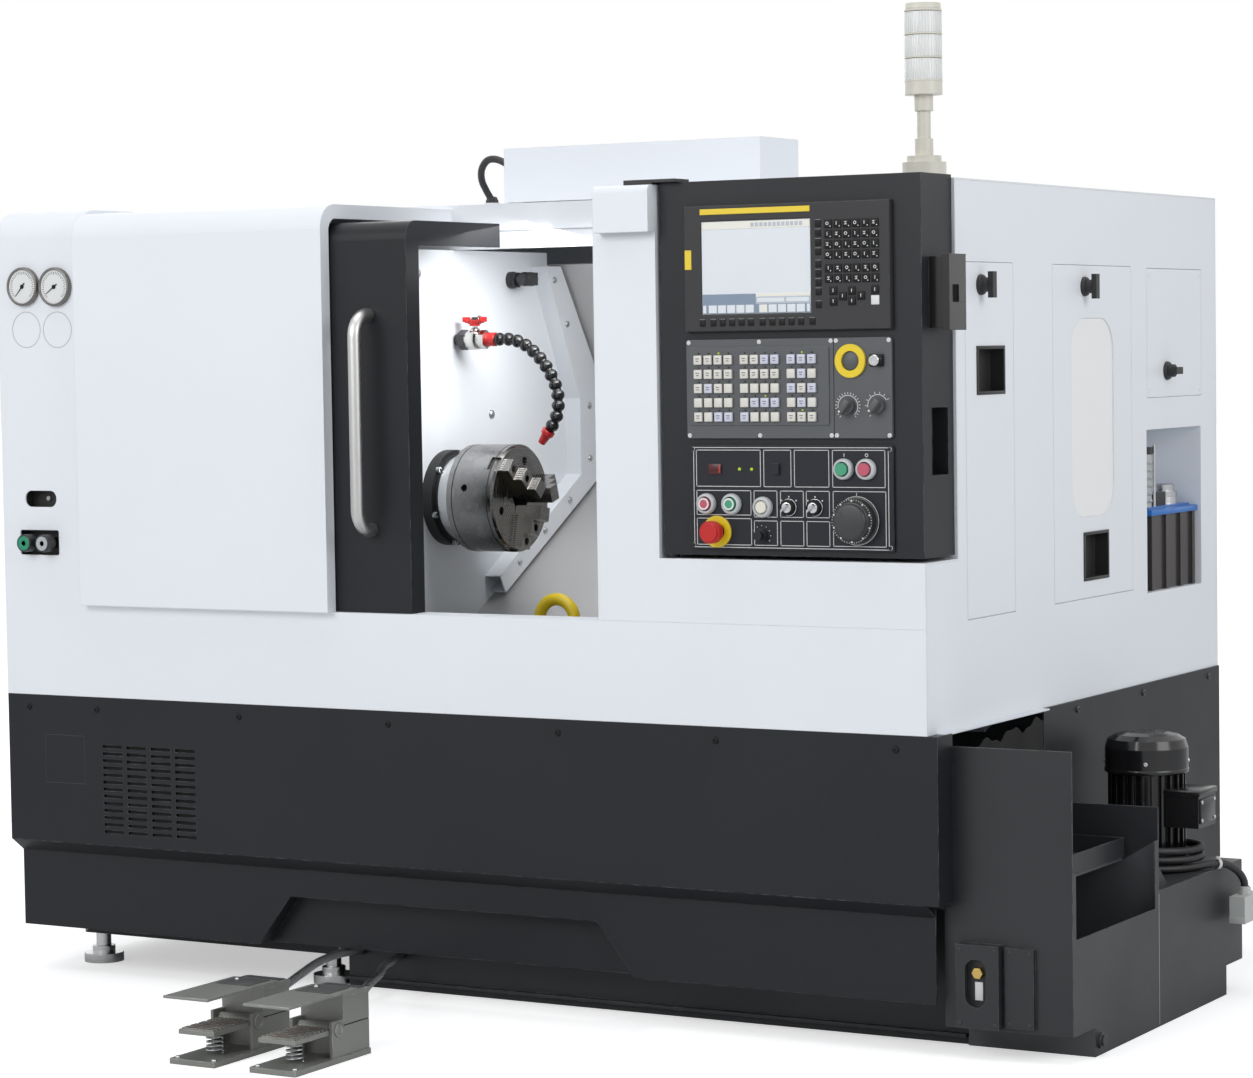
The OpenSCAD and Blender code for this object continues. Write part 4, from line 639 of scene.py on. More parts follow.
# Override dials: moulded grey pointer knobs on shafts through the key panel. Each turns in
# a printed arc with ticks, and a white dot shows its setting.
knob_grey = finish("knob_grey", (0.085, 0.086, 0.088), 0.45, grain=500, depth=0.0001, tone=0.1,
                   edge_tint=(0.2, 0.2, 0.2))
ticks, turns = [], []
bm = bmesh.new()
for cx, cz, count, r in ((370, 261, 21, 22.6), (427, 262, 9, 22.4)):
    for k in range(count):
        t = radians(-140 + 280 * k / (count - 1) if count > 10 else -140 + 25 * k)
        ticks.append(on_face(cx + r * sin(t), cz + r * cos(t), KEYS_Y - 0.1))
        turns.append((0, t, 0))
    arc = []
    for k in range(41):
        t = radians(-140 + (280 if count > 10 else 200) * k / 40)
        arc.append([bm.verts.new(spot(*on_face(cx + q * sin(t), cz + q * cos(t), KEYS_Y - 0.25)))
                    for q in (18.4, 19.6)])
    for a, b in zip(arc, arc[1:]):
        bm.faces.new((a[0], a[1], b[1], b[0]))
for f in bm.faces:
    f.normal_update()
    if f.normal.y > 0:
        f.normal_flip()
mesh = bpy.data.meshes.new("override_arcs")
bm.to_mesh(mesh)
bm.free()
piece("override_arcs", mesh, "console", mark_white)
set_out("override_ticks", ticks, shape_box((-0.7, -0.2, -1.7), (0.7, 0.3, 1.7), 0), "console",
        mark_white, turns)
for name, body, cx, cz in (("feed_knob", "feed", 370, 261), ("spindle_knob", "speed", 427, 262)):
    bm = bmesh.new()
    centre = on_face(cx, cz, KEYS_Y)
    add_turned(bm, centre, FRONT, [(0, 0.4), (12.6, 0.4), (13.2, 2), (13.2, 8), (12.2, 9.4),
                                   (0, 9.4)], 48, 0)
    before = len(bm.verts)
    add_box(bm, (centre[0] - 5.6, centre[1] - 22, centre[2] - 15),
            (centre[0] + 5.6, centre[1] - 8, centre[2] + 14), 2.2, 3, index=0)
    add_turned(bm, (centre[0], centre[1] - 21.9, centre[2] - 10.6), FRONT,
               [(1.9, -0.2), (1.9, 0.3), (0, 0.3)], 16, 1)
    bm.verts.ensure_lookup_table()
    middle = spot(*centre)
    bmesh.ops.rotate(bm, verts=bm.verts[before:], cent=middle,
                     matrix=Matrix.Rotation(radians(38), 3, "Y"))
    knob = built(name + "_visual", bm, body, [knob_grey, mark_white], smooth=50)
    dress(name, matt_black)
    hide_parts(name)

# Pressure gauges: dark steel bezels with white dials, ticks and a black needle, set in the
# apron. Below them are two stamped knock-outs and two black adjusting knobs, one of them
# with a green cap.
GAUGES = ((68, 1368), (148, 1366))
dial_white = finish("dial_white", (0.74, 0.75, 0.75), 0.35, grain=300, depth=0.00002, tone=0.02)
line_grey = finish("line_grey", (0.42, 0.44, 0.46), 0.5, grain=300, depth=0.00003, tone=0.05)
bm = bmesh.new()
for gx, gz in GAUGES:
    add_turned(bm, (gx, 0, gz), FRONT, [(38.2, 0), (38.2, 8.5), (37.2, 10.4), (34.2, 11.0),
                                        (33.2, 10.2), (33.0, 7.3)], 64, 0)
    add_turned(bm, (gx, 0, gz), FRONT, [(33.4, 7.1), (33.4, 7.6), (0, 7.6)], 64, 1)
    add_turned(bm, (gx, 0, gz), FRONT, [(4.2, 7.5), (4.2, 9.2), (3.4, 9.8), (0, 9.8)], 24, 2)
    t = radians(222 if gx < 100 else 236)
    needle = [spot(gx + a * sin(t) + b * cos(t), -8.4, gz + a * cos(t) - b * sin(t)) for a, b in
              ((-9, -1.3), (-9, 1.3), (24, 0.5), (24, -0.5))]
    low = [bm.verts.new(v) for v in needle]
    high = [bm.verts.new(v + Vector((0, -0.0006, 0))) for v in needle]
    sides = [[low[k], low[(k + 1) % 4], high[(k + 1) % 4], high[k]] for k in range(4)]
    for quad in [low[::-1], high] + sides:
        bm.faces.new(quad).material_index = 2
button_green = finish("button_green", (0.02, 0.27, 0.15), 0.3, grain=200, depth=0.00003, tone=0.05)
bezel_steel = finish("bezel_steel", (0.20, 0.19, 0.18), 0.3, metal=0.8, grain=300, depth=0.00005,
                     tone=0.1)
built("gauge_dials", bm, "frame", [bezel_steel, dial_white, mark_dark],
      smooth=40)
places, turns = [], []
for gx, gz in GAUGES:
    for k in range(31):
        t = radians(-135 + 9 * k)
        r = 27.6 if k % 5 else 26.4
        places.append((gx + r * sin(t), -7.7, gz + r * cos(t)))
        turns.append((0, t, 0))
set_out("gauge_ticks", places, shape_box((-0.4, -0.2, -2.3), (0.4, 0.2, 2.3), 0), "frame",
        mark_dark, turns)
# The stamped knock-outs are thin grey rings on the white sheet: painted shade standing for their
# grooves.
bm = bmesh.new()
for kx, kz in ((70, 1283), (148, 1282)):
    add_turned(bm, (kx, 0, kz), FRONT, [(35.6, -0.2), (35.6, 0.35), (34.4, 0.35), (34.4, -0.2)],
               64)
built("gauge_knockouts", bm, "frame", line_grey, smooth=40)
dress("pressure_gauges", bezel_steel, (matt_black, lambda x, y, z: z < 900))
bm = bmesh.new()
for kx, index in ((71, 0), (117, 1)):
    add_turned(bm, (kx, -5, 862), FRONT, [(17.6, -0.6), (17.6, 2.5), (16.6, 3.5), (17.6, 4.5),
                                          (17.6, 17), (16.6, 21.4), (14.6, 22.2), (14.2, 21.4)],
            40, 2)
    add_turned(bm, (kx, -5, 862), FRONT, [(14.2, 21.2), (13.6, 22), (5.5, 22), (5.0, 21.0),
                                          (0, 21.0)], 40, index)
# A small grey dome deep in the sight slot: a painted highlight for the glint seen there.
add_turned(bm, (96, 27, 949), FRONT, [(5, 0), (5, 4), (4, 5), (0, 5.2)], 20, 1)
built("pressure_knobs", bm, "frame", [button_green, line_grey, matt_black],
      smooth=40)

# Front fixings: pan-head screws along the top of the base and a stamped knock-out. Behind the vent
# slots stands a near-black sheet, painted shade, so that the slots read dark.
screw_steel = finish("screw_steel", (0.52, 0.53, 0.54), 0.34, metal=1.0, grain=300, depth=0.00005,
                     tone=0.1)
screw_dark = finish("screw_dark", (0.035, 0.036, 0.038), 0.4, grain=300, depth=0.00005, tone=0.1)


def pan_head(axis, r, sides=16):
    """A pan-head screw with a socket, along an axis."""
    return shape_turned(axis, [(r, -0.3), (r, 0.14 * r), (0.86 * r, 0.36 * r),
                               (0.45 * r, 0.46 * r), (0.36 * r, 0.45 * r), (0.32 * r, 0.18 * r),
            (0, 0.18 * r)], sides)


set_out("base_screws", [(x, 0, 535) for x in (53, 223, 568, 912, 1283, 1609, 1961)],
        pan_head(FRONT, 6.4), "frame", mark_dark)
# Near-black sheet behind the vent slots: painted shade.
vent_painted_shade = finish("vent_painted_shade", (0.004, 0.004, 0.004), 0.8, grain=300, depth=0.0002, tone=0.2)
bm = bmesh.new()
add_box(bm, (228, 6, 284), (470, 8, 466), 0.5)
built("vent_backing", bm, "frame", vent_painted_shade)
bm = bmesh.new()
for lo, hi in frame_sides(92, 386, 192, 482, 1.2):
    add_box(bm, (lo[0], -0.3, lo[1]), (hi[0], 0.2, hi[1]))
built("base_knockout", bm, "frame", screw_dark)

# Fold of the base: the sloping strip of charcoal sheet, bent in one piece with it, that
# joins the upper front sheet to the set-back one below.
FOLD_HIGH, FOLD_LOW, FOLD_IN = 267.8, 242, 34.8
bm = bmesh.new()
ends = []
for x in (0.5, BODY_W - 4.5):
    ends.append([bm.verts.new(spot(x, y, z)) for y, z in ((0.2, FOLD_HIGH), (FOLD_IN, FOLD_LOW),
            (FOLD_IN, FOLD_HIGH - 9.9))])
bm.faces.new(ends[0])
bm.faces.new(ends[1][::-1])
for k in range(3):
    bm.faces.new((ends[0][k], ends[1][k], ends[1][(k + 1) % 3], ends[0][(k + 1) % 3]))
built("base_fold", bm, "frame", guard_dark)

# Door handle: a satin stainless tube, brushed along its length, bent at both ends and
# welded to the door face.


def swept(name, line, radius, sides):
    """A closed tube along a line; radius is a number or one value for each point."""
    mesh = bpy.data.meshes.new(name)
    verts, faces, uvs = [], [], []
    count = len(line)
    across = None
    run = [0.0]
    for a, b in zip(line, line[1:]):
        run.append(run[-1] + (b - a).length)
    for i, p in enumerate(line):
        way = (line[min(i + 1, count - 1)] - line[max(i - 1, 0)]).normalized()
        if across is None:
            across = way.cross(Vector((1, 0, 0)) if abs(way.z) > 0.9 else up).normalized()
        across = (across - across.dot(way) * way).normalized()
        other = way.cross(across)
        r = radius[i] if isinstance(radius, (list, tuple)) else radius
        for k in range(sides):
            t = 2 * pi * k / sides
            verts.append(p + r * (cos(t) * across + sin(t) * other))
    for i in range(count - 1):
        for k in range(sides):
            n = (k + 1) % sides
            faces.append((i * sides + k, i * sides + n, (i + 1) * sides + n, (i + 1) * sides + k))
            uvs += [(k / sides, run[i]), ((k + 1) / sides, run[i]),
                    ((k + 1) / sides, run[i + 1]), (k / sides, run[i + 1])]
    ends = [tuple(range(sides - 1, -1, -1)), tuple(range((count - 1) * sides, count * sides))]
    mesh.from_pydata(verts, [], faces + ends)
    layer = mesh.uv_layers.new(name="along")
    for loop, uv in zip(layer.data, uvs + [(0, 0)] * (2 * sides)):
        loop.uv = uv
    mesh.shade_smooth()
    return mesh


handle_satin = finish("handle_satin", (0.58, 0.58, 0.57), 0.36, metal=1.0, grain=260,
                      depth=0.00004, tone=0.05, stretch=(6, 6, 0.2), rough_swing=0.05)
HANDLE_X, HANDLE_LOW, HANDLE_HIGH, HANDLE_BEND = 881, 898, 1298, 40
curve = [(HANDLE_X, 9.5, HANDLE_LOW), (HANDLE_X, 4, HANDLE_LOW)]
for k in range(13):
    t = radians(7.5 * k)
    curve.append((HANDLE_X, -HANDLE_BEND * sin(t), HANDLE_LOW + HANDLE_BEND * (1 - cos(t))))
curve += [(x, y, HANDLE_LOW + HANDLE_HIGH - z) for x, y, z in reversed(curve)]
handle = piece("handle_tube", swept("handle_tube", [spot(*p) for p in curve], 0.0125, 32), "door",
               handle_satin)
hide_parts("door_handle")

# Console plates: moulded plates held by pan-head screws, with pale button collars, coloured
# caps, yellow rings, chrome key switches, lamps and a graduated black handwheel, all fixed
# through the plates.
chrome = finish("chrome", (0.62, 0.63, 0.64), 0.16, metal=1.0, grain=120, depth=0.00003, tone=0.06,
                edge=0.0003)
lamp_red = finish("lamp_red", (0.07, 0.006, 0.006), 0.3, grain=200, depth=0.00002, tone=0.1)
digit_red = finish("digit_red", (0.95, 0.10, 0.08), 0.3, grain=200, depth=0.00002, tone=0.05)
collar_pale = finish("collar_pale", (0.52, 0.54, 0.55), 0.3, grain=200, depth=0.00003, tone=0.05)
cap_cream = finish("cap_cream", (0.78, 0.75, 0.66), 0.32, grain=200, depth=0.00003, tone=0.04)
cap_rose = finish("cap_rose", (0.52, 0.10, 0.15), 0.32, grain=200, depth=0.00003, tone=0.05)
cap_jade = finish("cap_jade", (0.06, 0.34, 0.19), 0.32, grain=200, depth=0.00003, tone=0.05)
WHEEL_X, WHEEL_Z = 384, 64


def off_axis(x, z, rx, rz):
    """How far a place is from the middle of a round fitting on the console."""
    return math.hypot(x - CON_X - rx, z - CON_Z - rz)


button_red = finish("button_red", (0.55, 0.02, 0.02), 0.3, grain=200, depth=0.00003, tone=0.05)
plate_screws = [on_face(x, z, SWITCH_Y) for x in (64, 448) for z in (18, 187)]
plate_screws += [on_face(x, z, KEYS_Y) for x in (59, 199, 338.5, 348.5, 449) for z in (211, 374)]
set_out("plate_screws", plate_screws, pan_head(FRONT, 4.0), "console", mark_white)
bm = bmesh.new()
add_box(bm, on_face(343, 207, KEYS_Y - 0.25), on_face(344.1, 378, KEYS_Y + 0.2))
built("plate_seam", bm, "console", mark_dark)
bm = bmesh.new()
for x, z in ((91, 91), (141, 91), (361, 153), (404, 153), (203, 86)):
    add_turned(bm, on_face(x, z, SWITCH_Y), FRONT, [(18.4, -0.2), (18.4, 5.0), (17.6, 8.4),
            (15.2, 10.4), (13.2, 10.4), (12.5, 9.4), (12.5, 2)], 48)
built("button_collars", bm, "console", collar_pale, smooth=40)
bm = bmesh.new()
for x, z in ((253, 86), (304, 86)):
    add_turned(bm, on_face(x, z, SWITCH_Y), FRONT, [(15.2, -0.2), (15.2, 1.6), (14.4, 2.2),
            (13.6, 1.6)], 40, 0)
    add_turned(bm, on_face(x, z, SWITCH_Y), FRONT, [(13.6, 0), (13.6, 8.4), (12.2, 10),
            (9.4, 10.4)], 40, 1)
    add_turned(bm, on_face(x, z, SWITCH_Y), FRONT, [(9.4, 8), (9.2, 10.8), (8.2, 11.6), (0, 11.6)],
               32, 0)
built("key_switch_trim", bm, "console", [chrome, mark_dark], smooth=40)
bm = bmesh.new()
add_box(bm, on_face(413.5, 329, KEYS_Y - 5.5), on_face(439.5, 350, KEYS_Y + 0.2), 1.6, index=1)
add_turned(bm, on_face(426, 339.5, KEYS_Y), FRONT, [(9.6, 5), (9.6, 12.6), (8.6, 13.6),
        (4.2, 13.6), (4.0, 12.8), (0, 12.8)], 36, 0)
built("protect_lock", bm, "console", [chrome, mark_dark], smooth=40)
bm = bmesh.new()
add_turned(bm, on_face(377, 339, KEYS_Y), FRONT, [(16.9, -0.2), (16.9, 0.8), (15, 2.2), (0, 2.8)],
           48)
built("ring_blank", bm, "console", panel_grey, smooth=40)
for name, cap in (("cycle_stop_button", cap_rose), ("power_off_button", cap_rose),
                  ("cycle_start_button", cap_jade), ("power_on_button", cap_jade),
        ("estop_button", button_red)):
    dress(name, cap, (matt_black, lambda x, y, z: y > SWITCH_Y + 1))
for body, x, cap in (("cycle_stop", 91, cap_rose), ("cycle_start", 141, cap_jade)):
    bm = bmesh.new()
    add_turned(bm, on_face(x, 91, SWITCH_Y - 14), FRONT,
               [(10.6, -0.2), (10.6, 0.35), (7.4, 0.35), (7.4, -0.2)], 40)
    built(body + "_ring", bm, body, mark_white, smooth=40)
dress("key_panel", panel_grey, (ring_yellow, lambda x, y, z: off_axis(x, z, 377, 339) < 30
                                and y < KEYS_Y - 0.3))
dress("handwheel", matt_black)
panel_ink = finish("panel_ink", (0.011, 0.013, 0.019), 0.45, grain=800, depth=0.0001, tone=0.08,
                   edge_tint=(0.1, 0.1, 0.11), shine=0.3)
dress("switch_panel", panel_ink, (ring_yellow, lambda x, y, z: off_axis(x, z, 111, 42) < 34
                                  and y < SWITCH_Y - 0.3),
        (cap_cream, lambda x, y, z: off_axis(x, z, 203, 86) < 12.4 and y < SWITCH_Y - 6.5),
        (chrome, lambda x, y, z: min(off_axis(x, z, q, 86) for q in (253, 304)) < 14
         and y < SWITCH_Y - 9.2))
places, turns = [], []
for k in range(50):
    t = 2 * pi * k / 50
    if k % 5:
        places.append(on_face(WHEEL_X + 37.4 * sin(t), WHEEL_Z + 37.4 * cos(t), SWITCH_Y - 20))
        turns.append((0, t, 0))
set_out("handwheel_ticks", places, shape_box((-0.4, -0.25, -1.2), (0.4, 0.4, 1.2), 0),
        "pulse_wheel", mark_white, turns)
places = [on_face(WHEEL_X + 35.6 * sin(radians(36 * k)), WHEEL_Z + 35.6 * cos(radians(36 * k)),
                  SWITCH_Y - 20) for k in range(10)]
set_out("handwheel_dots", places, shape_turned(FRONT, [(1.9, -0.2), (1.9, 0.3), (0, 0.3)], 14),
        "pulse_wheel", mark_white)
bm = bmesh.new()
add_turned(bm, on_face(WHEEL_X, WHEEL_Z, SWITCH_Y - 23), FRONT,
           [(33.6, -2.9), (33.4, -0.4), (30.6, 0.6), (30, 6.5), (28.4, 8.6), (26, 9.2), (0, 9.2)],
        64, 0)
add_turned(bm, on_face(365.5, 76.5, SWITCH_Y - 32.2), FRONT,
           [(5.6, -0.2), (5.6, 0.3), (4.6, 0.3), (3.6, -0.1)], 24, 0)
built("handwheel_face", bm, "pulse_wheel", screw_dark, smooth=40)
bm = bmesh.new()
add_turned(bm, on_face(WHEEL_X, WHEEL_Z, SWITCH_Y), FRONT,
           [(42.4, -0.2), (42.4, 0.3), (41.4, 0.3), (41.4, -0.2)], 64, 1)
add_turned(bm, on_face(WHEEL_X, WHEEL_Z, SWITCH_Y), FRONT,
           [(41.2, -0.2), (41.2, 2.6), (40, 3.4), (37, 3.4)], 64, 0)
add_box(bm, on_face(383.3, 106, SWITCH_Y - 0.3), on_face(384.7, 112, SWITCH_Y + 0.2), 0, index=1)
built("handwheel_collar", bm, "console", [screw_dark, mark_white], smooth=40)
bm = bmesh.new()
add_box(bm, on_face(95.5, 143, SWITCH_Y - 2.4), on_face(121, 161, SWITCH_Y), 0.5, index=0)
for x, z in ((157, 152), (181, 152)):
    add_turned(bm, on_face(x, z, SWITCH_Y), FRONT, [(2.9, -0.2), (2.9, 1.6), (2.2, 2.6), (0, 2.9)],
               20, 2)
for lo, hi in (((116.6, 146), (118, 151.4)), ((116.8, 152.4), (118.2, 157.8))):
    add_box(bm, on_face(*lo, SWITCH_Y - 2.7), on_face(*hi, SWITCH_Y - 2.2), 0, index=1)
built("panel_lamps", bm, "console", [lamp_red, digit_red, lamp_green], smooth=40)

# Chuck: a turned steel body with arc-shaped grinding marks, three T-slots and stepped
# jaws, each held by two socket screws and gripping with chequered teeth.
CHUCK_X0, CHUCK_X1 = 862, 967
chuck_steel = finish("chuck_steel", (0.30, 0.295, 0.29), 0.24, metal=1.0, grain=34, depth=0.00001,
                     tone=0.30, rough_swing=0.04, edge=0.0008, patch=14.0)
new, link = chuck_steel.node_tree.nodes.new, chuck_steel.node_tree.links.new
place, centred, turning, gloss = (new("ShaderNode" + kind)
                                  for kind in ("TexCoord", "Mapping", "TexWave", "MapRange"))
centred.inputs["Location"].default_value = -spot(0, AXIS_Y, AXIS_Z)
centred.inputs["Location"].default_value[0] = 0
turning.wave_type, turning.rings_direction = "RINGS", "X"
for name, value in (("Scale", 55), ("Distortion", 5), ("Detail", 3), ("Detail Scale", 0.6)):
    turning.inputs[name].default_value = value
gloss.inputs["To Min"].default_value, gloss.inputs["To Max"].default_value = 0.10, 0.30
link(place.outputs["Object"], centred.inputs["Vector"])
link(centred.outputs[0], turning.inputs["Vector"])
link(turning.outputs["Fac"], gloss.inputs["Value"])
link(gloss.outputs[0], chuck_steel.node_tree.nodes["Principled BSDF"].inputs["Roughness"])
jaw_steel = finish("jaw_steel", (0.31, 0.30, 0.285), 0.32, metal=1.0, grain=420, depth=0.0002,
                   tone=0.14, edge_tint=(0.72, 0.71, 0.7), edge=0.0008)
# Dark steel for screws and seams, also used as painted shade in slots, holes and grooves.
dark_steel_and_slot_shade = finish("dark_steel_and_slot_shade", (0.05, 0.05, 0.05), 0.5, metal=0.6, grain=300, depth=0.0002,
                   tone=0.2)
# Faces inside the chuck body, the walls of its T-slots and holes, are painted dark: painted shade
# in these recesses.
dress("chuck_body", chuck_steel,
      (dark_steel_and_slot_shade, lambda x, y, z: CHUCK_X0 + 5 < x < CHUCK_X1 - 5 and from_axis(y, z) < 103))
cap_screw = [(7.0, -0.2), (7.0, 6.6), (6.2, 7.4), (3.6, 7.4), (3.4, 3.4), (0, 3.4)]
for k in range(3):
    turn = radians(17 + 120 * k)
    out_y, out_z = cos(turn), sin(turn)
    jaw = "jaw_%d" % (k + 1)
    name = "chuck_" + jaw
    dress(name, jaw_steel)
    bm = bmesh.new()
    for r in (58, 85):
        add_turned(bm, (CHUCK_X1 + 12, AXIS_Y + r * out_y, AXIS_Z + r * out_z), RIGHT, cap_screw,
                   20)
    built(name + "_screws", bm, jaw, screw_dark, smooth=40)
    teeth = []
    for step in range(3):
        for row in range(2 if step == 0 else 5):
            for col in range(6):
                r = (99.2, 72.2, 44.2)[step]
                x = CHUCK_X1 + (4, 27, 45)[step] + 3.6 * row
                off = -12.5 + 5 * col
                if x < CHUCK_X1 + (23, 41, 59)[step]:
                    teeth.append((x, AXIS_Y + r * out_y - off * out_z,
                                  AXIS_Z + r * out_z + off * out_y))
    shape = bmesh.new()
    base = [shape.verts.new(Vector(p) / 1000) for p in ((-1.7, 0, -2.3), (1.7, 0, -2.3),
            (1.7, 0, 2.3), (-1.7, 0, 2.3))]
    tip = shape.verts.new((0, 0.0016, 0))
    for i in range(4):
        shape.faces.new((base[i], base[(i + 1) % 4], tip))
    shape.faces.new(base[::-1])
    set_out(name + "_teeth", teeth, shape, jaw, jaw_steel,
            [(turn, 0, 0)] * len(teeth), smooth=10)
    comb = []
    for row in range(14):
        r = 37 + 4.5 * row
        comb.append((CHUCK_X1 + 4.5, AXIS_Y + r * out_y, AXIS_Z + r * out_z))
    # Dark strips across the foot of each jaw: painted shade in the serration grooves.
    set_out(name + "_serrations", comb, shape_box((-2.6, -1.1, -15.25), (2.6, 1.1, 15.25), 0.4),
            jaw, dark_steel_and_slot_shade, [(turn, 0, 0)] * len(comb))
bm = bmesh.new()
for k in range(3):
    turn = radians(77 + 120 * k)
    add_turned(bm, (CHUCK_X1 - 13.5, AXIS_Y + 74 * cos(turn), AXIS_Z + 74 * sin(turn)), RIGHT,
               cap_screw, 20, 1)
for x, r in ((CHUCK_X0 + 12, 105.25), (CHUCK_X1 - 13, 105.25)):
    add_turned(bm, (x, AXIS_Y, AXIS_Z), RIGHT, [(r - 0.6, -1.4), (r, -1.0), (r, 1.0),
                                                (r - 0.6, 1.4)], 96, 1)
for r in (50, 90):
    add_turned(bm, (CHUCK_X1, AXIS_Y, AXIS_Z), RIGHT,
               [(r - 0.7, -0.3), (r - 0.5, 0.16), (r + 0.5, 0.16), (r + 0.7, -0.3)], 96, 0)
built("chuck_rings", bm, "spindle_unit", [chuck_steel, dark_steel_and_slot_shade], smooth=40)

# Chamber wall: white sheet with dome bolts and a black seal ring. The ball valve has a
# red butterfly handle, a red collar and a hose of snap-together beads to a red nozzle.
dome = [(9, -0.2), (9, 1.4), (7.6, 4.2), (4.2, 5.9), (0, 6.4)]
places = [(798, y, z) for y, z in ((120, 800), (120, 1100), (120, 1380), (300, 1380), (560, 1100),
                                   (560, 900), (250, 700), (200, 930), (200, 1210), (520, 1290),
        (640, 1250))]
set_out("wall_bolts", places, shape_turned(RIGHT, dome, 18), "frame", screw_steel)
frame_bolts = [(835, y, z) for y, z in ((600, 800), (700, 858), (800, 916), (884, 1000),
                                        (884, 1110), (800, 1280), (752, 1370))]
set_out("wiper_bolts", frame_bolts, shape_turned(RIGHT,
        [(7, -0.2), (7, 1), (5.6, 3.2), (3, 4.3), (0, 4.6)], 16), "frame", screw_steel)
nose_bolts = [(819, AXIS_Y + 88.5 * cos(radians(a + 20)), AXIS_Z + 88.5 * sin(radians(a + 20)))
              for a in range(0, 360, 60)]
set_out("nose_bolts", nose_bolts, shape_turned(RIGHT,
                                               [(6.2, -0.4), (6.2, 6.6), (5.6, 7.4), (3.2, 7.4),
                                                (3, 4), (0, 4)], 18), "frame", screw_steel)
nickel = finish("nickel", (0.58, 0.57, 0.54), 0.24, metal=1.0, grain=240, depth=0.00008, tone=0.1,
                edge=0.0006)
dress("coolant_valve", nickel, (screw_dark, lambda x, y, z: y > 600 or x < 826))
VALVE_X, VALVE_Y, VALVE_Z = 841, 437, 1250
bm = bmesh.new()
add_turned(bm, (VALVE_X, VALVE_Y, VALVE_Z), RIGHT, [(14, -18), (19.2, -12), (20.4, -4), (20.4, 4),
        (19.2, 12), (14, 18)], 32, 0)
add_turned(bm, (VALVE_X, VALVE_Y, VALVE_Z), TOP, [(11, 10), (10, 21), (8, 22.5), (0, 22.5)], 24, 0)
built("valve_body", bm, "frame", nickel, smooth=40)
bm = bmesh.new()
for s in (-1, 1):
    for k in range(3):
        x0 = VALVE_X + s * (6 + 5.2 * k)
        half, rise = (8, 10.5, 12)[k], (0, 3, 7)[k]
        add_box(bm, (min(x0, x0 + s * 5.6), VALVE_Y - half, VALVE_Z + 30.5 + rise * 0.6),
                (max(x0, x0 + s * 5.6), VALVE_Y + half, VALVE_Z + 38 + rise), 1.6, index=0)
add_turned(bm, (VALVE_X, VALVE_Y, VALVE_Z + 26.8), TOP, [(10.4, 0), (10.4, 10), (9, 12), (0, 12)],
           28, 0)
add_turned(bm, (VALVE_X, VALVE_Y, VALVE_Z + 38.5), TOP, [(6.4, 0), (6.4, 5), (5.4, 6), (0, 6)], 6,
           1)
wings = built("valve_wings", bm, "valve_lever", [button_red, screw_dark], smooth=30)
dress("valve_handle", button_red)
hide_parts("valve_handle")


def smooth_line(points, steps):
    """Points on a soft curve through a short given route."""
    line = []
    last = len(points) - 1
    for i in range(last):
        a, b = points[max(i - 1, 0)], points[i]
        c, d = points[i + 1], points[min(i + 2, last)]
        for k in range(steps):
            t = k / steps
            line.append(0.5 * (2 * b + (c - a) * t + (2 * a - 5 * b + 4 * c - d) * t * t
                               + (3 * b - a - 3 * c + d) * t ** 3))
    return line + [points[last].copy()]


def even_line(points, gap):
    """The same line with points a fixed distance apart."""
    done, left = [points[0].copy()], gap
    for a, b in zip(points, points[1:]):
        span, at = (b - a).length, 0.0
        while span - at >= left:
            at += left
            done.append(a.lerp(b, at / span))
            left = gap
        left -= span - at
    if (done[-1] - points[-1]).length > gap * 0.3:
        done.append(points[-1].copy())
    return done


def line_length(points):
    return sum((b - a).length for a, b in zip(points, points[1:]))


route = [(28, 0), (46, 0), (66, 0), (86, -1), (104, -6), (122, -15), (140, -29), (156, -45),
         (170, -64), (181, -84), (188, -104), (190, -125), (187, -146), (179, -164), (168, -179),
        (150, -204)]
hose_line = even_line(smooth_line([spot(VALVE_X + x, VALVE_Y, VALVE_Z + z) for x, z in route], 12),
                      0.0012)
full = line_length(hose_line)
COLLAR, NOZZLE, ENDS, BEADS = 0.021, 0.030, 0.051, 13
beads, collar_part, radii, ends, collar_radii, end_radii = [], [], [], [], [], []
for i, p in enumerate(hose_line):
    at = full * i / (len(hose_line) - 1)
    if at < COLLAR:
        collar_part.append(p)
        collar_radii.append(0.0142 - 0.0012 * abs(sin(at / COLLAR * 3 * pi)))
    elif at < full - NOZZLE:
        share = (at - COLLAR) / (full - ENDS) * BEADS % 1
        beads.append(p)
        radii.append(0.0086 + 0.0046 * max(0.0, sin(pi * min(1, share * 1.25))) ** 0.6)
    else:
        share = (at - full + NOZZLE) / NOZZLE
        ends.append(p)
        end_radii.append(0.0132 if share < 0.32 else 0.0116 - 0.0045 * share)
hose = piece("hose_beads", swept("hose_beads", beads, radii, 18), "frame", pump_gloss)
dress("coolant_hose", matt_black)
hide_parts("coolant_hose")
piece("hose_collar", swept("hose_collar", collar_part, collar_radii, 18), "frame", button_red)
piece("hose_nozzle", swept("hose_nozzle", ends, end_radii, 18), "frame", button_red)

# Wash-down elbow: a dark steel hexagon fitting with a cross-piece, screwed into the
# chamber wall near the roof.
bm = bmesh.new()
add_turned(bm, (808, 640, 1370), RIGHT, [(17.6, 0), (17.6, 8), (15, 10), (11.6, 10.4), (11.2, 22)],
           6, 0)
add_turned(bm, (842, 640, 1371), FRONT, [(0, -15.5), (12, -15.5), (14.4, -14.2), (14.4, 16),
                                         (10.5, 18), (10.5, 28), (0, 28)], 24, 0)
built("washdown_elbow", bm, "frame", screw_dark, smooth=35)

